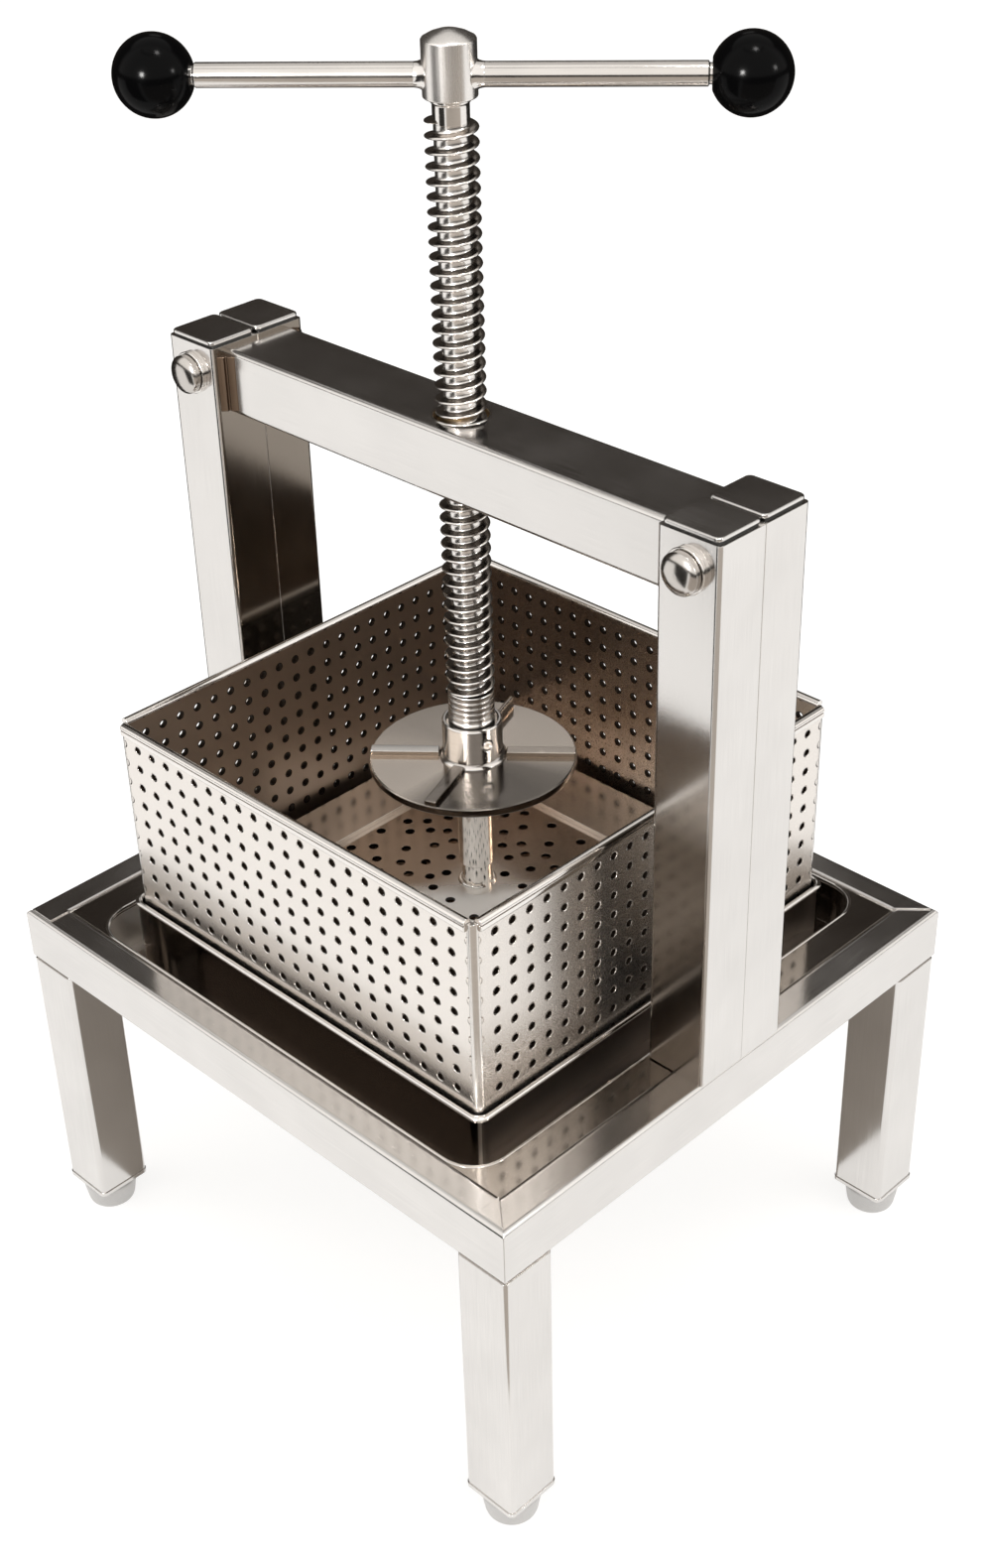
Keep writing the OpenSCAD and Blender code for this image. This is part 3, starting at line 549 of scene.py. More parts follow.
def inner_painted_shade(finish, axis, paler):
    """Paints brown shade into the side of a wall that faces the middle of the basket, and dulls it.

    With a paler colour, the painted brown shade fades towards +X. Gives 1 on the inner side and 0
    elsewhere."""
    tree = finish.node_tree
    axes = own_axes(tree)
    outwards = maths(tree, "MULTIPLY", facing_axes(tree)[axis], axes[axis])
    inward = maths(tree, "LESS_THAN", outwards, 0.0)
    # The brown of the painted shade
    colour = (0.27, 0.21, 0.165)
    if paler:
        reach = spread(tree, axes["X"], -0.06, 0.13)
        colour = ramp(tree, reach, [(0.0, colour), (1.0, paler)])
    dull(paint(finish, inward, colour), inward, 0.08)
    return inward


HOLE_PITCH, HOLE_R, RIM_TO_HOLES = 12.5, 2.1, 13.0


def pressed_rims(finish, inward, across, first_z):
    """Adds the drawn-in rim round each hole of a wall, whose holes lie on a square grid, and paints
    a dark ring of shade round each hole on the inner side.
    """
    tree = finish.node_tree
    axes = own_axes(tree)
    squares = []
    for axis, start in ((axes[across], 0.0), (axes["Z"], first_z * MM)):
        steps = maths(tree, "MULTIPLY_ADD", axis, 1.0 / (HOLE_PITCH * MM),
                      -start / (HOLE_PITCH * MM) + 0.5)
        leg = maths(tree, "MULTIPLY",
                    maths(tree, "SUBTRACT", maths(tree, "FRACT", steps), 0.5), HOLE_PITCH)
        squares.append(maths(tree, "MULTIPLY", leg, leg))
    reach = maths(tree, "SQRT", maths(tree, "ADD", *squares))
    slope = spread(tree, reach, HOLE_R - 0.1, HOLE_R + 0.9, smooth=True)
    dent = node(tree, "Bump", {"Strength": maths(tree, "MULTIPLY_ADD", inward, -0.8, 0.8),
                               "Distance": 0.0006, "Height": slope,
                               "Normal": fed_by(finish, "Normal")})
    # Painted shade: a dark ring round each hole on the inner side
    ring = maths(tree, "MULTIPLY", maths(tree, "LESS_THAN", reach, HOLE_R + 0.6), inward)
    return coat(paint(finish, ring, (0.022, 0.017, 0.013)), {"Normal": dent.outputs["Normal"]})


RIM = heights("basket_hem")[1]
pierced = {}
for name, across, facing, rough in (("front_rear", "X", "Y", 0.19), ("left_right", "Y", "X", 0.27)):
    skin = steel("punched_sheet_" + name, (0.76, 0.72, 0.68), rough, grain_size=3000.0, bump=0.003,
                 cloud=0.02)
    if name == "left_right":
        # Painted shade: the side walls darken towards their foot
        low_shade(skin, 205, 300)
    inward = inner_painted_shade(skin, facing, (0.50, 0.42, 0.345) if name == "front_rear" else None)
    dark_bores(skin, facing)
    pierced[name] = pressed_rims(skin, inward, across, RIM - RIM_TO_HOLES)
# A brown, darker copy of the sheet steel as painted reflection of the basket's walls, with painted
# light on its front corner
flat_skin = steel("punched_sheet_flat", (0.52, 0.45, 0.39), 0.17, ALONG_Y, bump=0.01)
painted_light_region(flat_skin, (1, -1, 0), -12, 16, (0.97, 0.95, 0.92), 0.34, matt=0.92)
pierced["flat"] = dark_bores(flat_skin, "Z")
print("punched sheets:", sorted(pierced))

# %% [markdown]
# ## Ways of working
# Most parts of the press are either turned on a lathe or folded from sheet. A lathe part starts as
# a filled circle that is extruded along its axis ring by ring, and each ring is scaled to its
# radius. A tray starts in the same way from a square whose corners are rounded. A narrow bevel on
# every sharp edge catches the light as a deburred edge does, and weighted normals keep the flats
# flat.

# %% Select, edit and finish a piece
def alone(piece):
    nothing_selected()
    piece.select_set(True)
    bpy.context.view_layer.objects.active = piece
    return piece


def edit_all(piece):
    """Opens a piece in edit mode with all of it selected."""
    alone(piece)
    bpy.ops.object.mode_set(mode="EDIT")
    bpy.ops.mesh.select_all(action="SELECT")


def edit_done(merge=None):
    """Merges doubles, turns all normals outwards and leaves edit mode."""
    bpy.ops.mesh.select_all(action="SELECT")
    if merge:
        bpy.ops.mesh.remove_doubles(threshold=merge)
    bpy.ops.mesh.normals_make_consistent(inside=False)
    bpy.ops.object.mode_set(mode="OBJECT")


def extrude_by(x, y, z):
    """Extrudes the selected part by a step in millimetres."""
    bpy.ops.mesh.extrude_region_move(TRANSFORM_OT_translate={"value": (x * MM, y * MM, z * MM)})


def apply(piece, kind, **settings):
    alone(piece)
    made = piece.modifiers.new("step", kind)
    for key, value in settings.items():
        setattr(made, key, value)
    bpy.ops.object.modifier_apply(modifier=made.name)


def finish_edges(piece, width=0.4, segments=3, angle=28, flats=True):
    if width:
        apply(piece, "BEVEL", limit_method="ANGLE", angle_limit=radians(angle), width=width * MM,
              segments=segments)
    alone(piece)
    bpy.ops.object.shade_smooth_by_angle(angle=radians(angle))
    if flats:
        apply(piece, "WEIGHTED_NORMAL", keep_sharp=True, weight=80)
    nothing_selected()
    return piece


# %% Turn a lathe part, or draw a tray, ring by ring
def grow(piece, rings, hollow, edge):
    """The piece is the first ring; the others are (half width, half depth, height)."""
    wide, deep, level = rings[0]
    edit_all(piece)
    for w, d, z in rings[1:] + (rings[:1] if hollow else []):
        extrude_by(0, 0, z - level)
        bpy.ops.transform.resize(value=(w / wide, d / deep, 1), center_override=(0, 0, z * MM))
        wide, deep, level = w, d, z
    edit_done(merge=0.00001)
    return finish_edges(piece, edge)


def turned(name, rings, base=0.0, sides=96, hollow=False, edge=0.3):
    """A lathe part about Z; rings are (radius, height over base) in millimetres, in order."""
    nothing_selected()
    rings = [(r, r, base + z) for r, z in rings]
    bpy.ops.mesh.primitive_circle_add(vertices=sides, radius=rings[0][0] * MM,
                                      location=(0, 0, rings[0][2] * MM),
                                      fill_type="NOTHING" if hollow else "NGON")
    return grow(named(name), rings, hollow, edge)


def drawn(name, rings, corner, base=0.0, segments=10, hollow=False):
    """A tray, tube or plate with rounded corners, from (half width, half depth, height) rings."""
    nothing_selected()
    rings = [(w, d, base + z) for w, d, z in rings]
    wide, deep, level = rings[0]
    bpy.ops.mesh.primitive_plane_add(size=1, location=(0, 0, level * MM))
    bpy.ops.transform.resize(value=(2 * wide * MM, 2 * deep * MM, 1))
    piece = named(name)
    edit_all(piece)
    bpy.ops.mesh.bevel(offset=corner * MM, segments=segments, affect="VERTICES")
    if hollow:
        bpy.ops.mesh.delete(type="ONLY_FACE")
    return grow(piece, rings, hollow, 0.0)


def block(name, low, high, edge, segments=3):
    """A bar or plate between two corners, in millimetres, with rounded edges."""
    nothing_selected()
    bpy.ops.mesh.primitive_cube_add(size=1, location=[(a + b) / 2 * MM for a, b in zip(low, high)],
                                    scale=[(b - a) * MM for a, b in zip(low, high)])
    return finish_edges(named(name), edge, segments)


# %% Draw an outline, and fold a strip from it
def outlined(name, outline, closed=True):
    """Draws an outline in the XZ plane by extruding one point from corner to corner."""
    nothing_selected()
    x, z = outline[0]
    bpy.ops.mesh.primitive_plane_add(size=0.001, location=(x * MM, 0, z * MM))
    piece = named(name)
    edit_all(piece)
    bpy.ops.mesh.merge(type="CENTER")
    for next_x, next_z in outline[1:]:
        extrude_by(next_x - x, 0, next_z - z)
        x, z = next_x, next_z
    if closed:
        bpy.ops.mesh.select_all(action="SELECT")
        bpy.ops.mesh.edge_face_add()
    bpy.ops.object.mode_set(mode="OBJECT")
    return piece


def folded(name, outline, low_y, high_y, edge=0.0):
    """A strip of one section: the outline in XZ, extruded along Y, in millimetres."""
    piece = outlined(name, outline)
    edit_all(piece)
    bpy.ops.transform.translate(value=(0, low_y * MM, 0))
    extrude_by(0, high_y - low_y, 0)
    edit_done()
    return finish_edges(piece, edge, segments=2)


def arc(x, z, radius, start, stop, step):
    """Points on an arc about (x, z), with angles in degrees."""
    return [(x + radius * cos(radians(a)), z + radius * sin(radians(a)))
            for a in range(start, stop, step)]


# %% Place, copy and dress a piece
def settle(piece, place=(0, 0, 0), turn=(0, 0, 0)):
    """Turns and moves a finished piece, then writes that into its mesh."""
    alone(piece)
    piece.rotation_euler = [radians(a) for a in turn]
    piece.location = [v * MM for v in place]
    bpy.ops.object.transform_apply(location=True, rotation=True, scale=True)
    nothing_selected()
    return piece


def copy_of(piece, name):
    """A copy with a mesh of its own."""
    twin = piece.copy()
    twin.data = piece.data.copy()
    twin.name = twin.data.name = name
    scene.collection.objects.link(twin)
    return twin


def repeated(piece, names):
    return [piece] + [copy_of(piece, name) for name in names]


def fit(piece, finish, body, *replaced):
    """Gives a piece its finish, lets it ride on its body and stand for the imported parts."""
    piece.data.materials.clear()
    piece.data.materials.append(finish)
    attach(piece, body)
    if any(replaced):
        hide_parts(*replaced)
    print(piece.name, sum(len(p.vertices) - 2 for p in piece.data.polygons), "triangles")
    return piece


def second_finish(piece, finish, takes_it):
    """Gives another finish to the faces that pass a test."""
    piece.data.materials.append(finish)
    slot = len(piece.data.materials) - 1
    for face in piece.data.polygons:
        if takes_it(face):
            face.material_index = slot


def cut(piece, drill):
    apply(piece, "BOOLEAN", object=drill, operation="DIFFERENCE", solver="EXACT")
    bpy.data.objects.remove(drill)
    return finish_edges(piece, 0)


print("ready to model")

# %% [markdown]
# ## The screw
# The thread is a ridge with a rounded crest, wound round a core. Drawn once as an outline as long
# as one lead, it becomes the whole screw with the Screw modifier, which turns the outline about Z
# and lifts it by one lead each turn. Two cuts square off its ends.

# %% Draw the ridge and wind it
LEAD, CORE_R, PLAIN_END, THREAD_LENGTH = 7.5, 8.9, 42.5, 314.0
TURNS, RUN_IN = 44, 9.0
THREAD_LOW = heights("press_screw")[0] + PLAIN_END
THREAD_HIGH = THREAD_LOW + THREAD_LENGTH
ridge = [(CORE_R, 0.0), (CORE_R, 1.9), (9.1, 2.2), (9.7, 2.42), (11.0, 2.6), (12.2, 2.74),
         (12.9, 2.92), (13.3, 3.2), (13.5, 3.65), (13.3, 4.1), (12.9, 4.38), (12.2, 4.56),
         (11.0, 4.7), (9.7, 4.88), (9.1, 5.1), (CORE_R, 5.4), (CORE_R, LEAD)]
thread = outlined("screw_thread", [(r, z + THREAD_LOW - RUN_IN) for r, z in ridge], closed=False)
apply(thread, "SCREW", axis="Z", angle=2 * pi, screw_offset=LEAD * MM, iterations=TURNS, steps=60,
      render_steps=60, use_merge_vertices=True, merge_threshold=0.00002)
edit_all(thread)
for level, above in ((THREAD_HIGH, True), (THREAD_LOW - 1.0, False)):
    bpy.ops.mesh.select_all(action="SELECT")
    bpy.ops.mesh.bisect(plane_co=(0, 0, level * MM), plane_no=(0, 0, 1), use_fill=True,
                        clear_outer=above, clear_inner=not above)
edit_done(merge=0.00002)
finish_edges(thread, 0, angle=40, flats=False)
fit(thread, thread_steel, "screw", "press_screw")

# %% [markdown]
# ### The plain ends of the screw
# Below the thread the screw is plain, with five shallow grooves, and it turns in the collar there.
# Above the thread it has a thinner neck that carries the hub. Both are lathe parts, and their
# rings are counted from the thread's two ends.

# %% Turn the plain ends
GROOVES, GROOVE_STEP = 5, 3.4
rings = [(13.0, -PLAIN_END), (13.0, -19.0)]
for number in range(GROOVES):
    level = GROOVE_STEP * number - 17.0
    rings += [(12.3, level - 1.0), (12.3, level), (13.0, level + 0.6), (13.0, level + 2.0)]
rings += [(12.6, -0.9), (10.0, -0.2)]
fit(turned("screw_lower_end", rings, THREAD_LOW, edge=0.15), thread_steel, "screw")
fit(turned("screw_neck", [(9.2, -1.0), (9.2, 8.2), (10.2, 9.4), (10.2, 12.0)], THREAD_HIGH),
    turned_steel, "screw")

# %% [markdown]
# ## Hub, bar and knobs
# The hub is a short cylinder with a shallow dome. The bar passes through it, with a small
# polished fillet on each side, and ends in two black balls that are flat where the bar enters.

# %% Hub
HUB_Z = heights("hub")[0]
fit(turned("handle_hub", [(12.9, 0.0), (13.5, 0.6), (13.5, 27.0), (12.9, 27.9), (9.2, 29.9),
                          (5.0, 31.3), (1.4, 32.0)], HUB_Z, edge=0.25),
    hub_steel, "screw", "hub")

# %% Bar and its fillets
BAR_Z, BAR_TURN, BAR_SIDES = HUB_Z + 10.5, 40.0, 72
ENDS = (("left", 180), ("right", 0))


def on_bar(piece):
    """Lays a piece that was made along Z onto the cross bar's line."""
    return settle(piece, (0, 0, BAR_Z), (0, 90, BAR_TURN))


bar = turned("cross_bar", [(5.0, -134.5), (5.0, -122.5), (6.0, -122.4), (6.0, 122.4), (5.0, 122.5),
                           (5.0, 134.5)], sides=BAR_SIDES, edge=0.5)
fit(on_bar(bar), bar_steel, "screw", "handle_bar")
for side, flip in ENDS:
    fillet = turned("bar_fillet_" + side, [(8.4, 11.0), (7.3, 13.0), (6.6, 14.2), (6.2, 15.6),
                                           (6.03, 17.0)], sides=BAR_SIDES, edge=0)
    fit(on_bar(settle(fillet, turn=(flip, 0, 0))), turned_steel, "screw")

# %% Ball knobs
KNOB_R, FLAT_AT, REACH = 20.0, 18.5, 142.5
for side, flip in ENDS:
    nothing_selected()
    bpy.ops.mesh.primitive_uv_sphere_add(segments=96, ring_count=64, radius=KNOB_R * MM)
    ball = named(side + "_ball_knob")
    edit_all(ball)
    bpy.ops.mesh.bisect(plane_co=(0, 0, -FLAT_AT * MM), plane_no=(0, 0, 1), use_fill=True,
                        clear_inner=True)
    finish_edges(ball, angle=25)
    settle(ball, (0, 0, REACH))
    fit(on_bar(settle(ball, turn=(flip, 0, 0))), black_gloss, "screw", side + "_knob")

# %% [markdown]
# ## The foot of the press
# The screw's lower end turns in a collar that is welded to a thick disc. A small screw in the
# collar holds it. Flat strips stiffen the disc, and a post carries the force to the plate.

# %% Collar with its screw hole, and the weld
COLLAR_Z, DRILL_Z, DRILL_TURN = heights("collar")[0], 14.0, -15
collar = turned("screw_collar", [(17.0, 0.0), (17.0, 23.2), (16.3, 24.0), (15.0, 24.0),
                                 (14.5, 23.4), (14.5, 13.2), (13.05, 13.2), (13.05, 0.0)],
                COLLAR_Z, hollow=True, edge=0.15)
nothing_selected()
bpy.ops.mesh.primitive_cone_add(vertices=48, radius1=2.55 * MM, radius2=4.4 * MM, depth=8 * MM,
                                location=(0, 0, 16.0 * MM))
drill = settle(named("drill"), (0, 0, COLLAR_Z + DRILL_Z), (0, 90, DRILL_TURN))
fit(cut(collar, drill), turned_steel, "press_foot", "collar")
weld = turned("collar_weld_ring", [(16.5, 0.0), (19.4, 0.0), (19.3, 0.7), (18.6, 1.6), (17.7, 2.2),
                                   (16.5, 2.4)], COLLAR_Z, sides=120, hollow=True, edge=0)
fit(weld, turned_steel, "press_foot", "collar_weld")

# %% [markdown]
# ### Disc and strips
# The disc is one thick plate with a rounded rim. Three of its strips lie flat, and the rear one
# stands on edge. The rims and the strips' sides get a dark finish face by face, a painted shade,
# because the photograph shows them dark.

# %% Disc and its strips
DISC_Z, DISC_T = heights("press_disc")[0], 5.0
disc = turned("pressing_disc", [(57.8, 0.0), (58.8, 0.5), (59.0, 1.2), (59.0, 4.0), (58.7, 4.6),
                                (58.0, DISC_T)], DISC_Z, sides=144, edge=0)
fit(disc, disc_steel, "press_foot", "press_disc")
second_finish(disc, shaded_steel, lambda face: abs(face.normal.z) < 0.2)
for label, angle in (("right", 41), ("left", 221), ("front", 291), ("rear", 111)):
    if label == "rear":
        strip = block("disc_strip_rear", (19.2, -1.5, 0), (56.3, 1.5, 7.0), 1.2, 5)
    else:
        strip = block("disc_strip_" + label, (19.2, -3.5, 0), (58.4, 3.5, 3.0), 0.5)
    settle(strip, (0, 0, DISC_Z + DISC_T), (0, 0, angle))
    fit(strip, turned_steel if label == "left" else disc_steel, "press_foot",
        "disc_strips" if label == "right" else None)
    second_finish(strip, shaded_steel,
                  lambda face: label != "rear" and abs(face.normal.z) < 0.3)

# %% Post and its wire ring
POST_Z, RING_Z, RING_GAP = heights("press_post")[0], 6.4, 3.5
fit(turned("plate_post", [(8.5, 0.0), (8.5, 19.4), (10.0, 20.4), (10.0, 88.0)], POST_Z, edge=0.2),
    post_steel, "press_foot", "press_post")
nothing_selected()
bpy.ops.mesh.primitive_torus_add(major_segments=96, minor_segments=20, major_radius=9.9 * MM,
                                 minor_radius=1.4 * MM, location=(0, 0, (POST_Z + RING_Z) * MM))
wire = named("post_wire_ring")
edit_all(wire)
bpy.ops.mesh.select_all(action="DESELECT")
bpy.ops.object.mode_set(mode="OBJECT")
for face in wire.data.polygons:
    face.select = face.center.x > 0 and abs(face.center.y) < RING_GAP * MM
bpy.ops.object.mode_set(mode="EDIT")
bpy.ops.mesh.select_mode(type="FACE")
bpy.ops.mesh.delete(type="FACE")
bpy.ops.mesh.select_mode(type="VERT")
bpy.ops.mesh.select_all(action="DESELECT")
bpy.ops.mesh.select_non_manifold()
bpy.ops.mesh.fill_holes(sides=40)
fit(finish_edges(wire, 0, angle=50), post_steel, "press_foot", "retaining_ring")

# %% [markdown]
# ## The portal
# The crossbeam is a tube with soft corners, bored for the screw, with a bright rim on the
# bore. A heat-browned weld fills the corner between the beam and each upright.

# %% Crossbeam
BEAM_Z, BEAM_TOP = heights("crossbeam")
BEAM_MID, BEAM_HALF_Y, BEAM_WALL, BORE_R = (BEAM_Z + BEAM_TOP) / 2, 23.5, 2.5, 15.0
BEAM_END = 162.0
section = [(19.0, BEAM_HALF_Y), (19.0 - BEAM_WALL, BEAM_HALF_Y - BEAM_WALL)]
beam = drawn("portal_beam", [(*section[0], -BEAM_END), (*section[0], BEAM_END),
                             (*section[1], BEAM_END), (*section[1], -BEAM_END)],
             3.0, segments=8, hollow=True)
settle(beam, (0, 0, BEAM_MID), (0, 90, 0))
nothing_selected()
bpy.ops.mesh.primitive_cylinder_add(vertices=96, radius=BORE_R * MM, depth=60 * MM,
                                    location=(0, 0, BEAM_MID * MM))
fit(cut(beam, named("drill")), along_x, "frame", "crossbeam")
rim = turned("bore_rim", [(15.0, -2.0), (16.2, -0.2), (16.2, 0.15), (15.7, 0.5), (15.2, 0.5),
                          (14.6, -0.2), (14.6, -2.0)], BEAM_TOP, hollow=True, edge=0)
fit(rim, turned_steel, "frame")

# %% [markdown]
# ### Welds
# A weld bead is a ragged fillet. Its section is drawn once and extruded over the beam's height,
# and the other three beads are copies, turned into their corners.

# %% Welds in the corners between beam and uprights
section = [(-0.2, -1.2), (7.0, -1.2), (7.2, 0.2), (6.2, 0.9), (5.0, 2.0), (4.4, 3.0), (3.0, 2.4),
           (2.4, 3.0), (3.0, 4.4), (2.0, 5.0), (0.9, 6.2), (0.2, 7.0), (-0.2, 6.8)]
corners = [("left_front", -1, -1, 0), ("right_front", 1, -1, -90), ("left_rear", -1, 1, 90),
           ("right_rear", 1, 1, 180)]
bead = folded("beam_weld_left_front", section, BEAM_Z + 3.0, BEAM_TOP - 3.0, edge=0.25)
settle(bead, turn=(90, 0, 0))
beads = repeated(bead, ["beam_weld_" + label for label, *_ in corners[1:]])
for piece, (label, sx, sy, turn) in zip(beads, corners):
    fit(settle(piece, (sx * BEAM_END, sy * BEAM_HALF_Y, 0), (0, 0, turn)), browned, "frame")

# %% [markdown]
# ### Uprights
# Each upright is a pair of tubes side by side. Their outer long edges are softly rounded, and the
# two edges at the seam are nearly sharp, so the seam reads as a thin line. The faces towards the
# screw get a darker copy of the steel as painted shade, and the front of the right front tube gets
# painted shade towards its foot, as the photograph shows them.

# %% Upright tubes
UPRIGHT_OUT, TUBE_X, TUBE_Y = 200, 38.0, 33.0


def tube_section(wide, deep, outer_r, seam_r):
    """The section of one tube, with small radii on the side that lies against its neighbour."""
    points = []
    for x, z, radius, start in ((wide, deep, outer_r, 0), (0, deep, outer_r, 90),
                                (0, 0, seam_r, 180), (wide, 0, seam_r, 270)):
        points += arc(x - radius if x else radius, z - radius if z else radius, radius, start,
                      start + 91, 15)
    return points


FOOT_Z, TUBE_TOP = heights("left_front_upright")
tube = folded("left_front_tube", tube_section(TUBE_X, TUBE_Y, 2.6, 0.3), FOOT_Z, TUBE_TOP)
settle(tube, turn=(90, 0, 0))
tube_places = [("left_front", -UPRIGHT_OUT, 0), ("left_rear", -BEAM_END, 180),
               ("right_front", BEAM_END, 0), ("right_rear", UPRIGHT_OUT, 180)]
tubes = repeated(tube, [label + "_tube" for label, *_ in tube_places[1:]])
for piece, (label, x, turn) in zip(tubes, tube_places):
    settle(piece, turn=(0, 0, turn))
    fit(settle(piece, (x, 0, 0)), along_z, "frame", label + "_upright")
    inwards = 1 if label.startswith("left") else -1
    # Painted shade on the faces towards the screw
    second_finish(piece, tube_inside, lambda face: face.normal.x * inwards > 0.9)
right_front = tubes[2]
second_finish(right_front, tube_shaded, lambda face: face.normal.y < -0.9)

# %% [markdown]
# ### Lids and tie bolts
# Each tube is closed by a thin lid with a rounded edge, on a plug whose near-black colour is
# painted shade in the gap under the lid. A bolt with a domed head ties the two tubes of a side
# together, with a washer under the head and a cap nut behind.

# %% Lids of the uprights
UPRIGHT_MID, LID_Y = 181, 16.5
CAP_TOP = heights("left_front_cap")[1]
lid = drawn("left_front_lid", [(17.0, 15.3, -2.2), (17.4, 15.7, -1.9), (17.4, 15.7, -1.0),
                               (17.25, 15.55, -0.45), (16.9, 15.2, -0.12), (16.4, 14.7, 0.0)],
            3.0, CAP_TOP)
core = block("left_front_plug", (-16.5, -14.0, CAP_TOP - 15.4), (16.5, 14.0, CAP_TOP - 2.1), 0.3, 1)
pairs = sorted(corners)
lids = [(lid, core)] + [(copy_of(lid, label + "_lid"), copy_of(core, label + "_plug"))
                        for label, *_ in pairs[1:]]
for (top, core), (label, sx, sy, _) in zip(lids, pairs):
    place = (sx * UPRIGHT_MID, sy * LID_Y, 0)
    fit(settle(top, place), along_x, "frame", label + "_cap")
    fit(settle(core, place), plug_dark, "frame")

# %% Tie bolts, their washers and their nuts
BOLT_Z = heights("left_tie_bolt")[0] + 11.0
dome = [(9.5, 2.6), (9.5, 3.2), (10.6, 3.2), (11.0, 3.6), (11.0, 6.4), (10.4, 7.3), (9.0, 8.3),
        (7.0, 9.05), (5.0, 9.5), (2.5, 9.75), (0.8, 9.8)]
head = turned("left_tie_bolt_head", [(5.0, -68.5), (5.0, 2.6)] + dome, sides=72, edge=0.1)
cap_nut = turned("left_tie_nut", dome, sides=72, edge=0.1)
washer = turned("left_front_washer", [(5.1, 0.0), (12.0, 0.0), (12.0, 2.2), (11.6, 2.6),
                                      (5.1, 2.6)], sides=72, hollow=True, edge=0.1)
heads = repeated(head, ["right_tie_bolt_head"])
nuts = repeated(cap_nut, ["right_tie_nut"])
washers = repeated(washer, ["right_front_washer", "left_rear_washer", "right_rear_washer"])
for number, (side, x) in enumerate((("left", -UPRIGHT_MID), ("right", UPRIGHT_MID))):
    front, rear = ((x, -TUBE_Y, BOLT_Z), (90, 0, 0)), ((x, TUBE_Y, BOLT_Z), (-90, 0, 0))
    fit(settle(heads[number], *front), bolt_steel, "frame", side + "_tie_bolt")
    fit(settle(nuts[number], *rear), turned_steel, "frame", "tie_nuts" if number else None)
    fit(settle(washers[number], *front), turned_steel, "frame",
        "tie_washers" if number else None)
    fit(settle(washers[number + 2], *rear), turned_steel, "frame")

# %% [markdown]
# ## Basket hem and drip tray
# The basket's rim is a strip folded out along each wall and rolled over at its top. A dark finish,
# a painted shade, marks the groove under the roll and a thin line on its crest. The tray is drawn
# from one sheet, with soft corners and a rolled rim, so its outline grows ring by ring round that
# roll. Its steel is a dark copy as painted shade, and the roll and the corners get the brighter
# finish as a painted highlight.

# %% Hem
HEM_X, HEM_HALF = 140.5, 136.4
hem_section = ([(-0.02, -7.0), (1.4, -7.0), (1.9, -6.7), (2.1, -6.1), (2.1, -3.9), (1.1, -3.5),
                (1.1, -2.95), (2.3, -2.85)] + arc(-0.3, -2.7, 2.7, 0, 181, 15) + [(-0.02, -2.7)])
hems = repeated(folded("front_hem", hem_section, -HEM_HALF, HEM_HALF, edge=0.15),
                [side + "_hem" for side in ("right", "rear", "left")])


def in_shade(face):
    """True where shade is painted: in the groove under the roll and on the line along its crest."""
    outwards = face.normal.x * face.center.x + face.normal.y * face.center.y
    on_crest = face.normal.z > 0.98 and -0.03 < outwards < -0.01
    return on_crest or -3.6 < face.center.z / MM - RIM < -2.8


for piece, turn in zip(hems, (-90, 0, 90, 180)):
    settle(piece, (HEM_X, 0, RIM))
    fit(settle(piece, turn=(0, 0, turn)), rim_steel, "frame",
        "basket_hem" if piece == hems[0] else None)
    second_finish(piece, shaded_steel, in_shade)

# %% Drip tray
TRAY_Z, TRAY_TOP = heights("drip_tray")
ROLL_R, ROLL_AT, TRAY_CORNER = 1.6, 143.9, 7.0
tray_rings = ([(141.8, TRAY_Z + 1.2), (142.9, TRAY_Z + 1.6), (143.3, TRAY_Z + 2.6),
               (143.3, TRAY_TOP - 3.0)]
              + arc(ROLL_AT, TRAY_TOP - ROLL_R, ROLL_R, 240, -81, -20)
              + [(144.5, TRAY_TOP - 3.4), (144.5, TRAY_Z + 1.4), (144.0, TRAY_Z + 0.4),
                 (143.0, TRAY_Z)])
tray = drawn("rolled_tray", [(half, half, z) for half, z in tray_rings], TRAY_CORNER)
fit(tray, tray_steel, "frame", "drip_tray")
# The roll and the corners get the brighter steel as a painted highlight
second_finish(tray, rim_steel, lambda face: face.center.z / MM > TRAY_TOP - 3.1
              or min(abs(face.normal.x), abs(face.normal.y)) > 0.58)

# %% [markdown]
# ## Lip of the pan
# Round the pan's opening the table's steel turns down into the pan with a small bright lip. It is
# a rounded ring of one section, drawn like the tray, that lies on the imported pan.

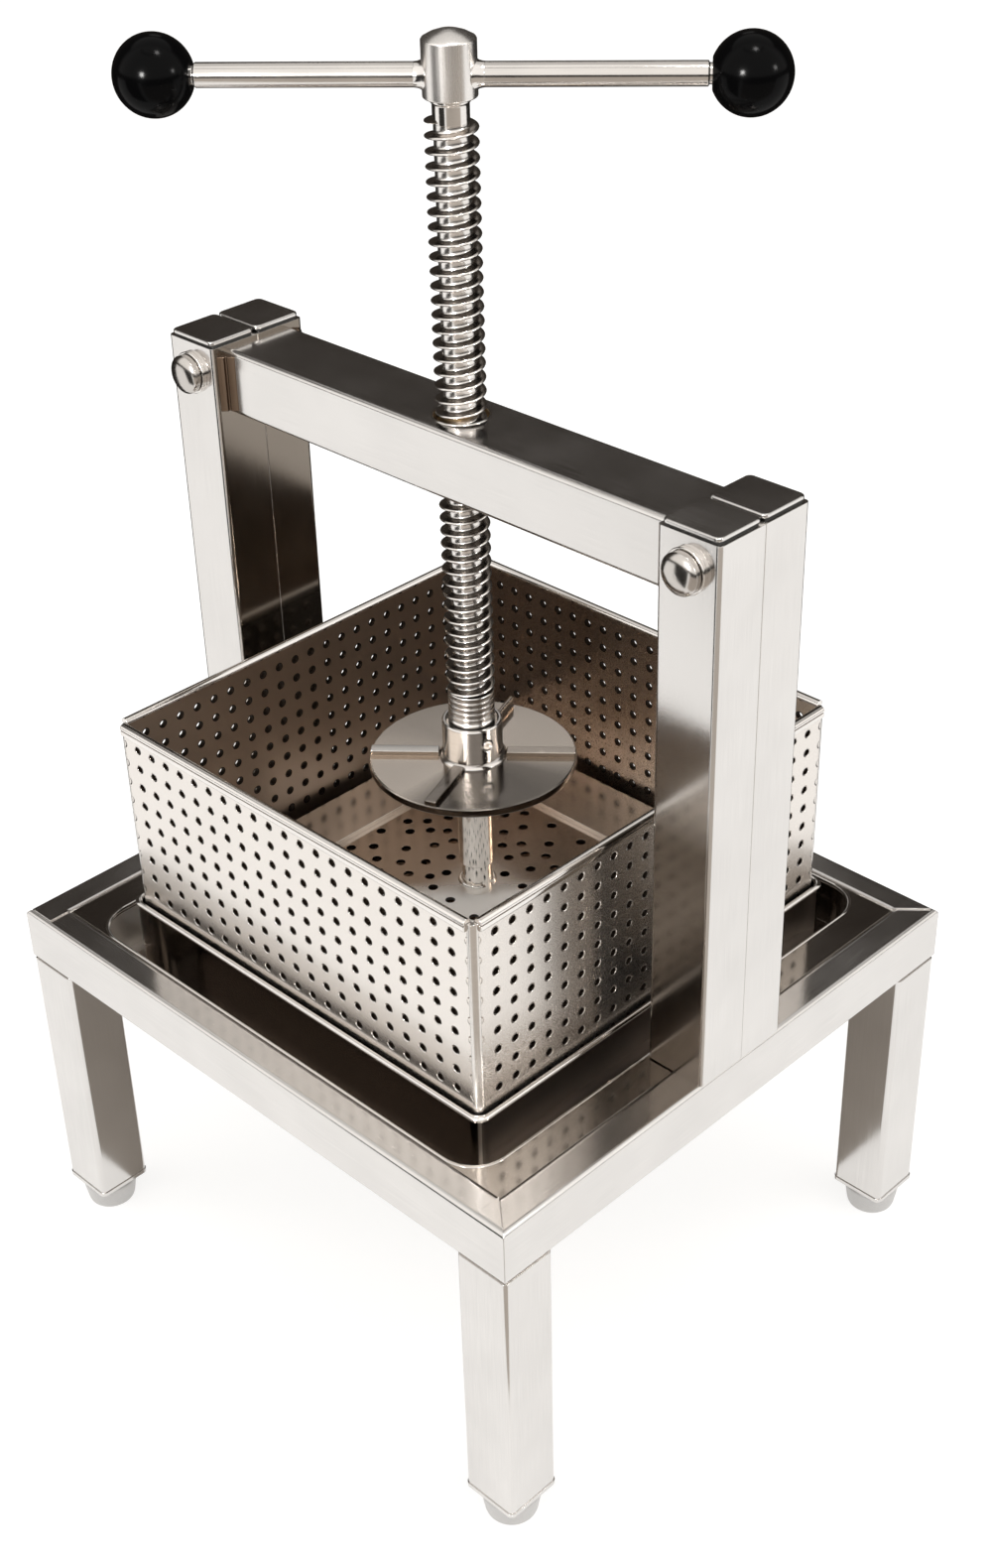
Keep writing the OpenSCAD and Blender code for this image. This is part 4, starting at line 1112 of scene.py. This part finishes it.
# %% Bright lip round the pan's opening
LIP_X, LIP_Y, LIP_Z, LIP_CORNER = 160.0, 164.0, heights("deck_pan")[1], 22.0
lip = drawn("pan_lip", [(LIP_X + out, LIP_Y + out, z) for out, z in (
    (-0.5, -1.6), (-0.6, -0.2), (-0.2, 0.35), (0.5, 0.45), (1.1, 0.2), (1.2, -0.3), (0.0, -0.6))],
    LIP_CORNER, LIP_Z, segments=16, hollow=True)
fit(lip, rim_steel, "frame")

# %% [markdown]
# ## Feet
# Each leg stands on a pale plastic foot: a tapered puck with a soft lower edge and a narrower
# waist. It is turned once, and three copies go under the other legs.

# %% Feet
LEG_X, LEG_Y = 182.5, 166.5
foot = turned("foot_puck_front_left", [(12.0, 0.0), (13.4, 0.3), (14.4, 1.2), (15.0, 3.0),
                                       (16.9, 14.6), (17.0, 15.6), (16.7, 16.4), (16.0, 17.0),
                                       (14.0, 17.0), (14.0, 19.0), (5.0, 19.0), (5.0, 28.0)],
              edge=0.2)
spots = [("front_left", -1, -1), ("front_right", 1, -1), ("rear_left", -1, 1), ("rear_right", 1, 1)]
feet = repeated(foot, ["foot_puck_" + label for label, *_ in spots[1:]])
for piece, (label, sx, sy) in zip(feet, spots):
    fit(settle(piece, (sx * LEG_X, sy * LEG_Y, 0)), grey_plastic, "frame", "foot_" + label)

# %% [markdown]
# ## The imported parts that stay
# Rails, legs, pan, basket walls, the follower plate with its frame, the nut, the thrust washer and
# the small screws have the right shape as they are packed, so they only get their finish.

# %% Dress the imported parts
def dress(finish, *names):
    for name in names:
        slots = nodes[name].data.materials
        slots.clear()
        slots.append(finish)


dress(along_x, "front_rail", "rear_rail")
dress(along_y, "left_rail", "right_rail", "corner_plates")
dress(along_z, *[name for name in nodes if name.startswith("leg_")])
dress(pan_steel, "deck_pan")
dress(pierced["front_rear"], "basket_front", "basket_rear")
dress(pierced["left_right"], "basket_left", "basket_right")
dress(sheet_steel, "basket_corners")
dress(follower_steel, "follower_frame")
dress(pierced["flat"], "follower_plate", "basket_floor")
dress(turned_steel, "follower_screw", "set_screw")
dress(bronze, "screw_nut", "thrust_washer")
kept = [n for n in nodes if not nodes[n].hide_render]
print(len(kept), "packed parts stay,", len(nodes) - len(kept), "have a modelled piece instead")
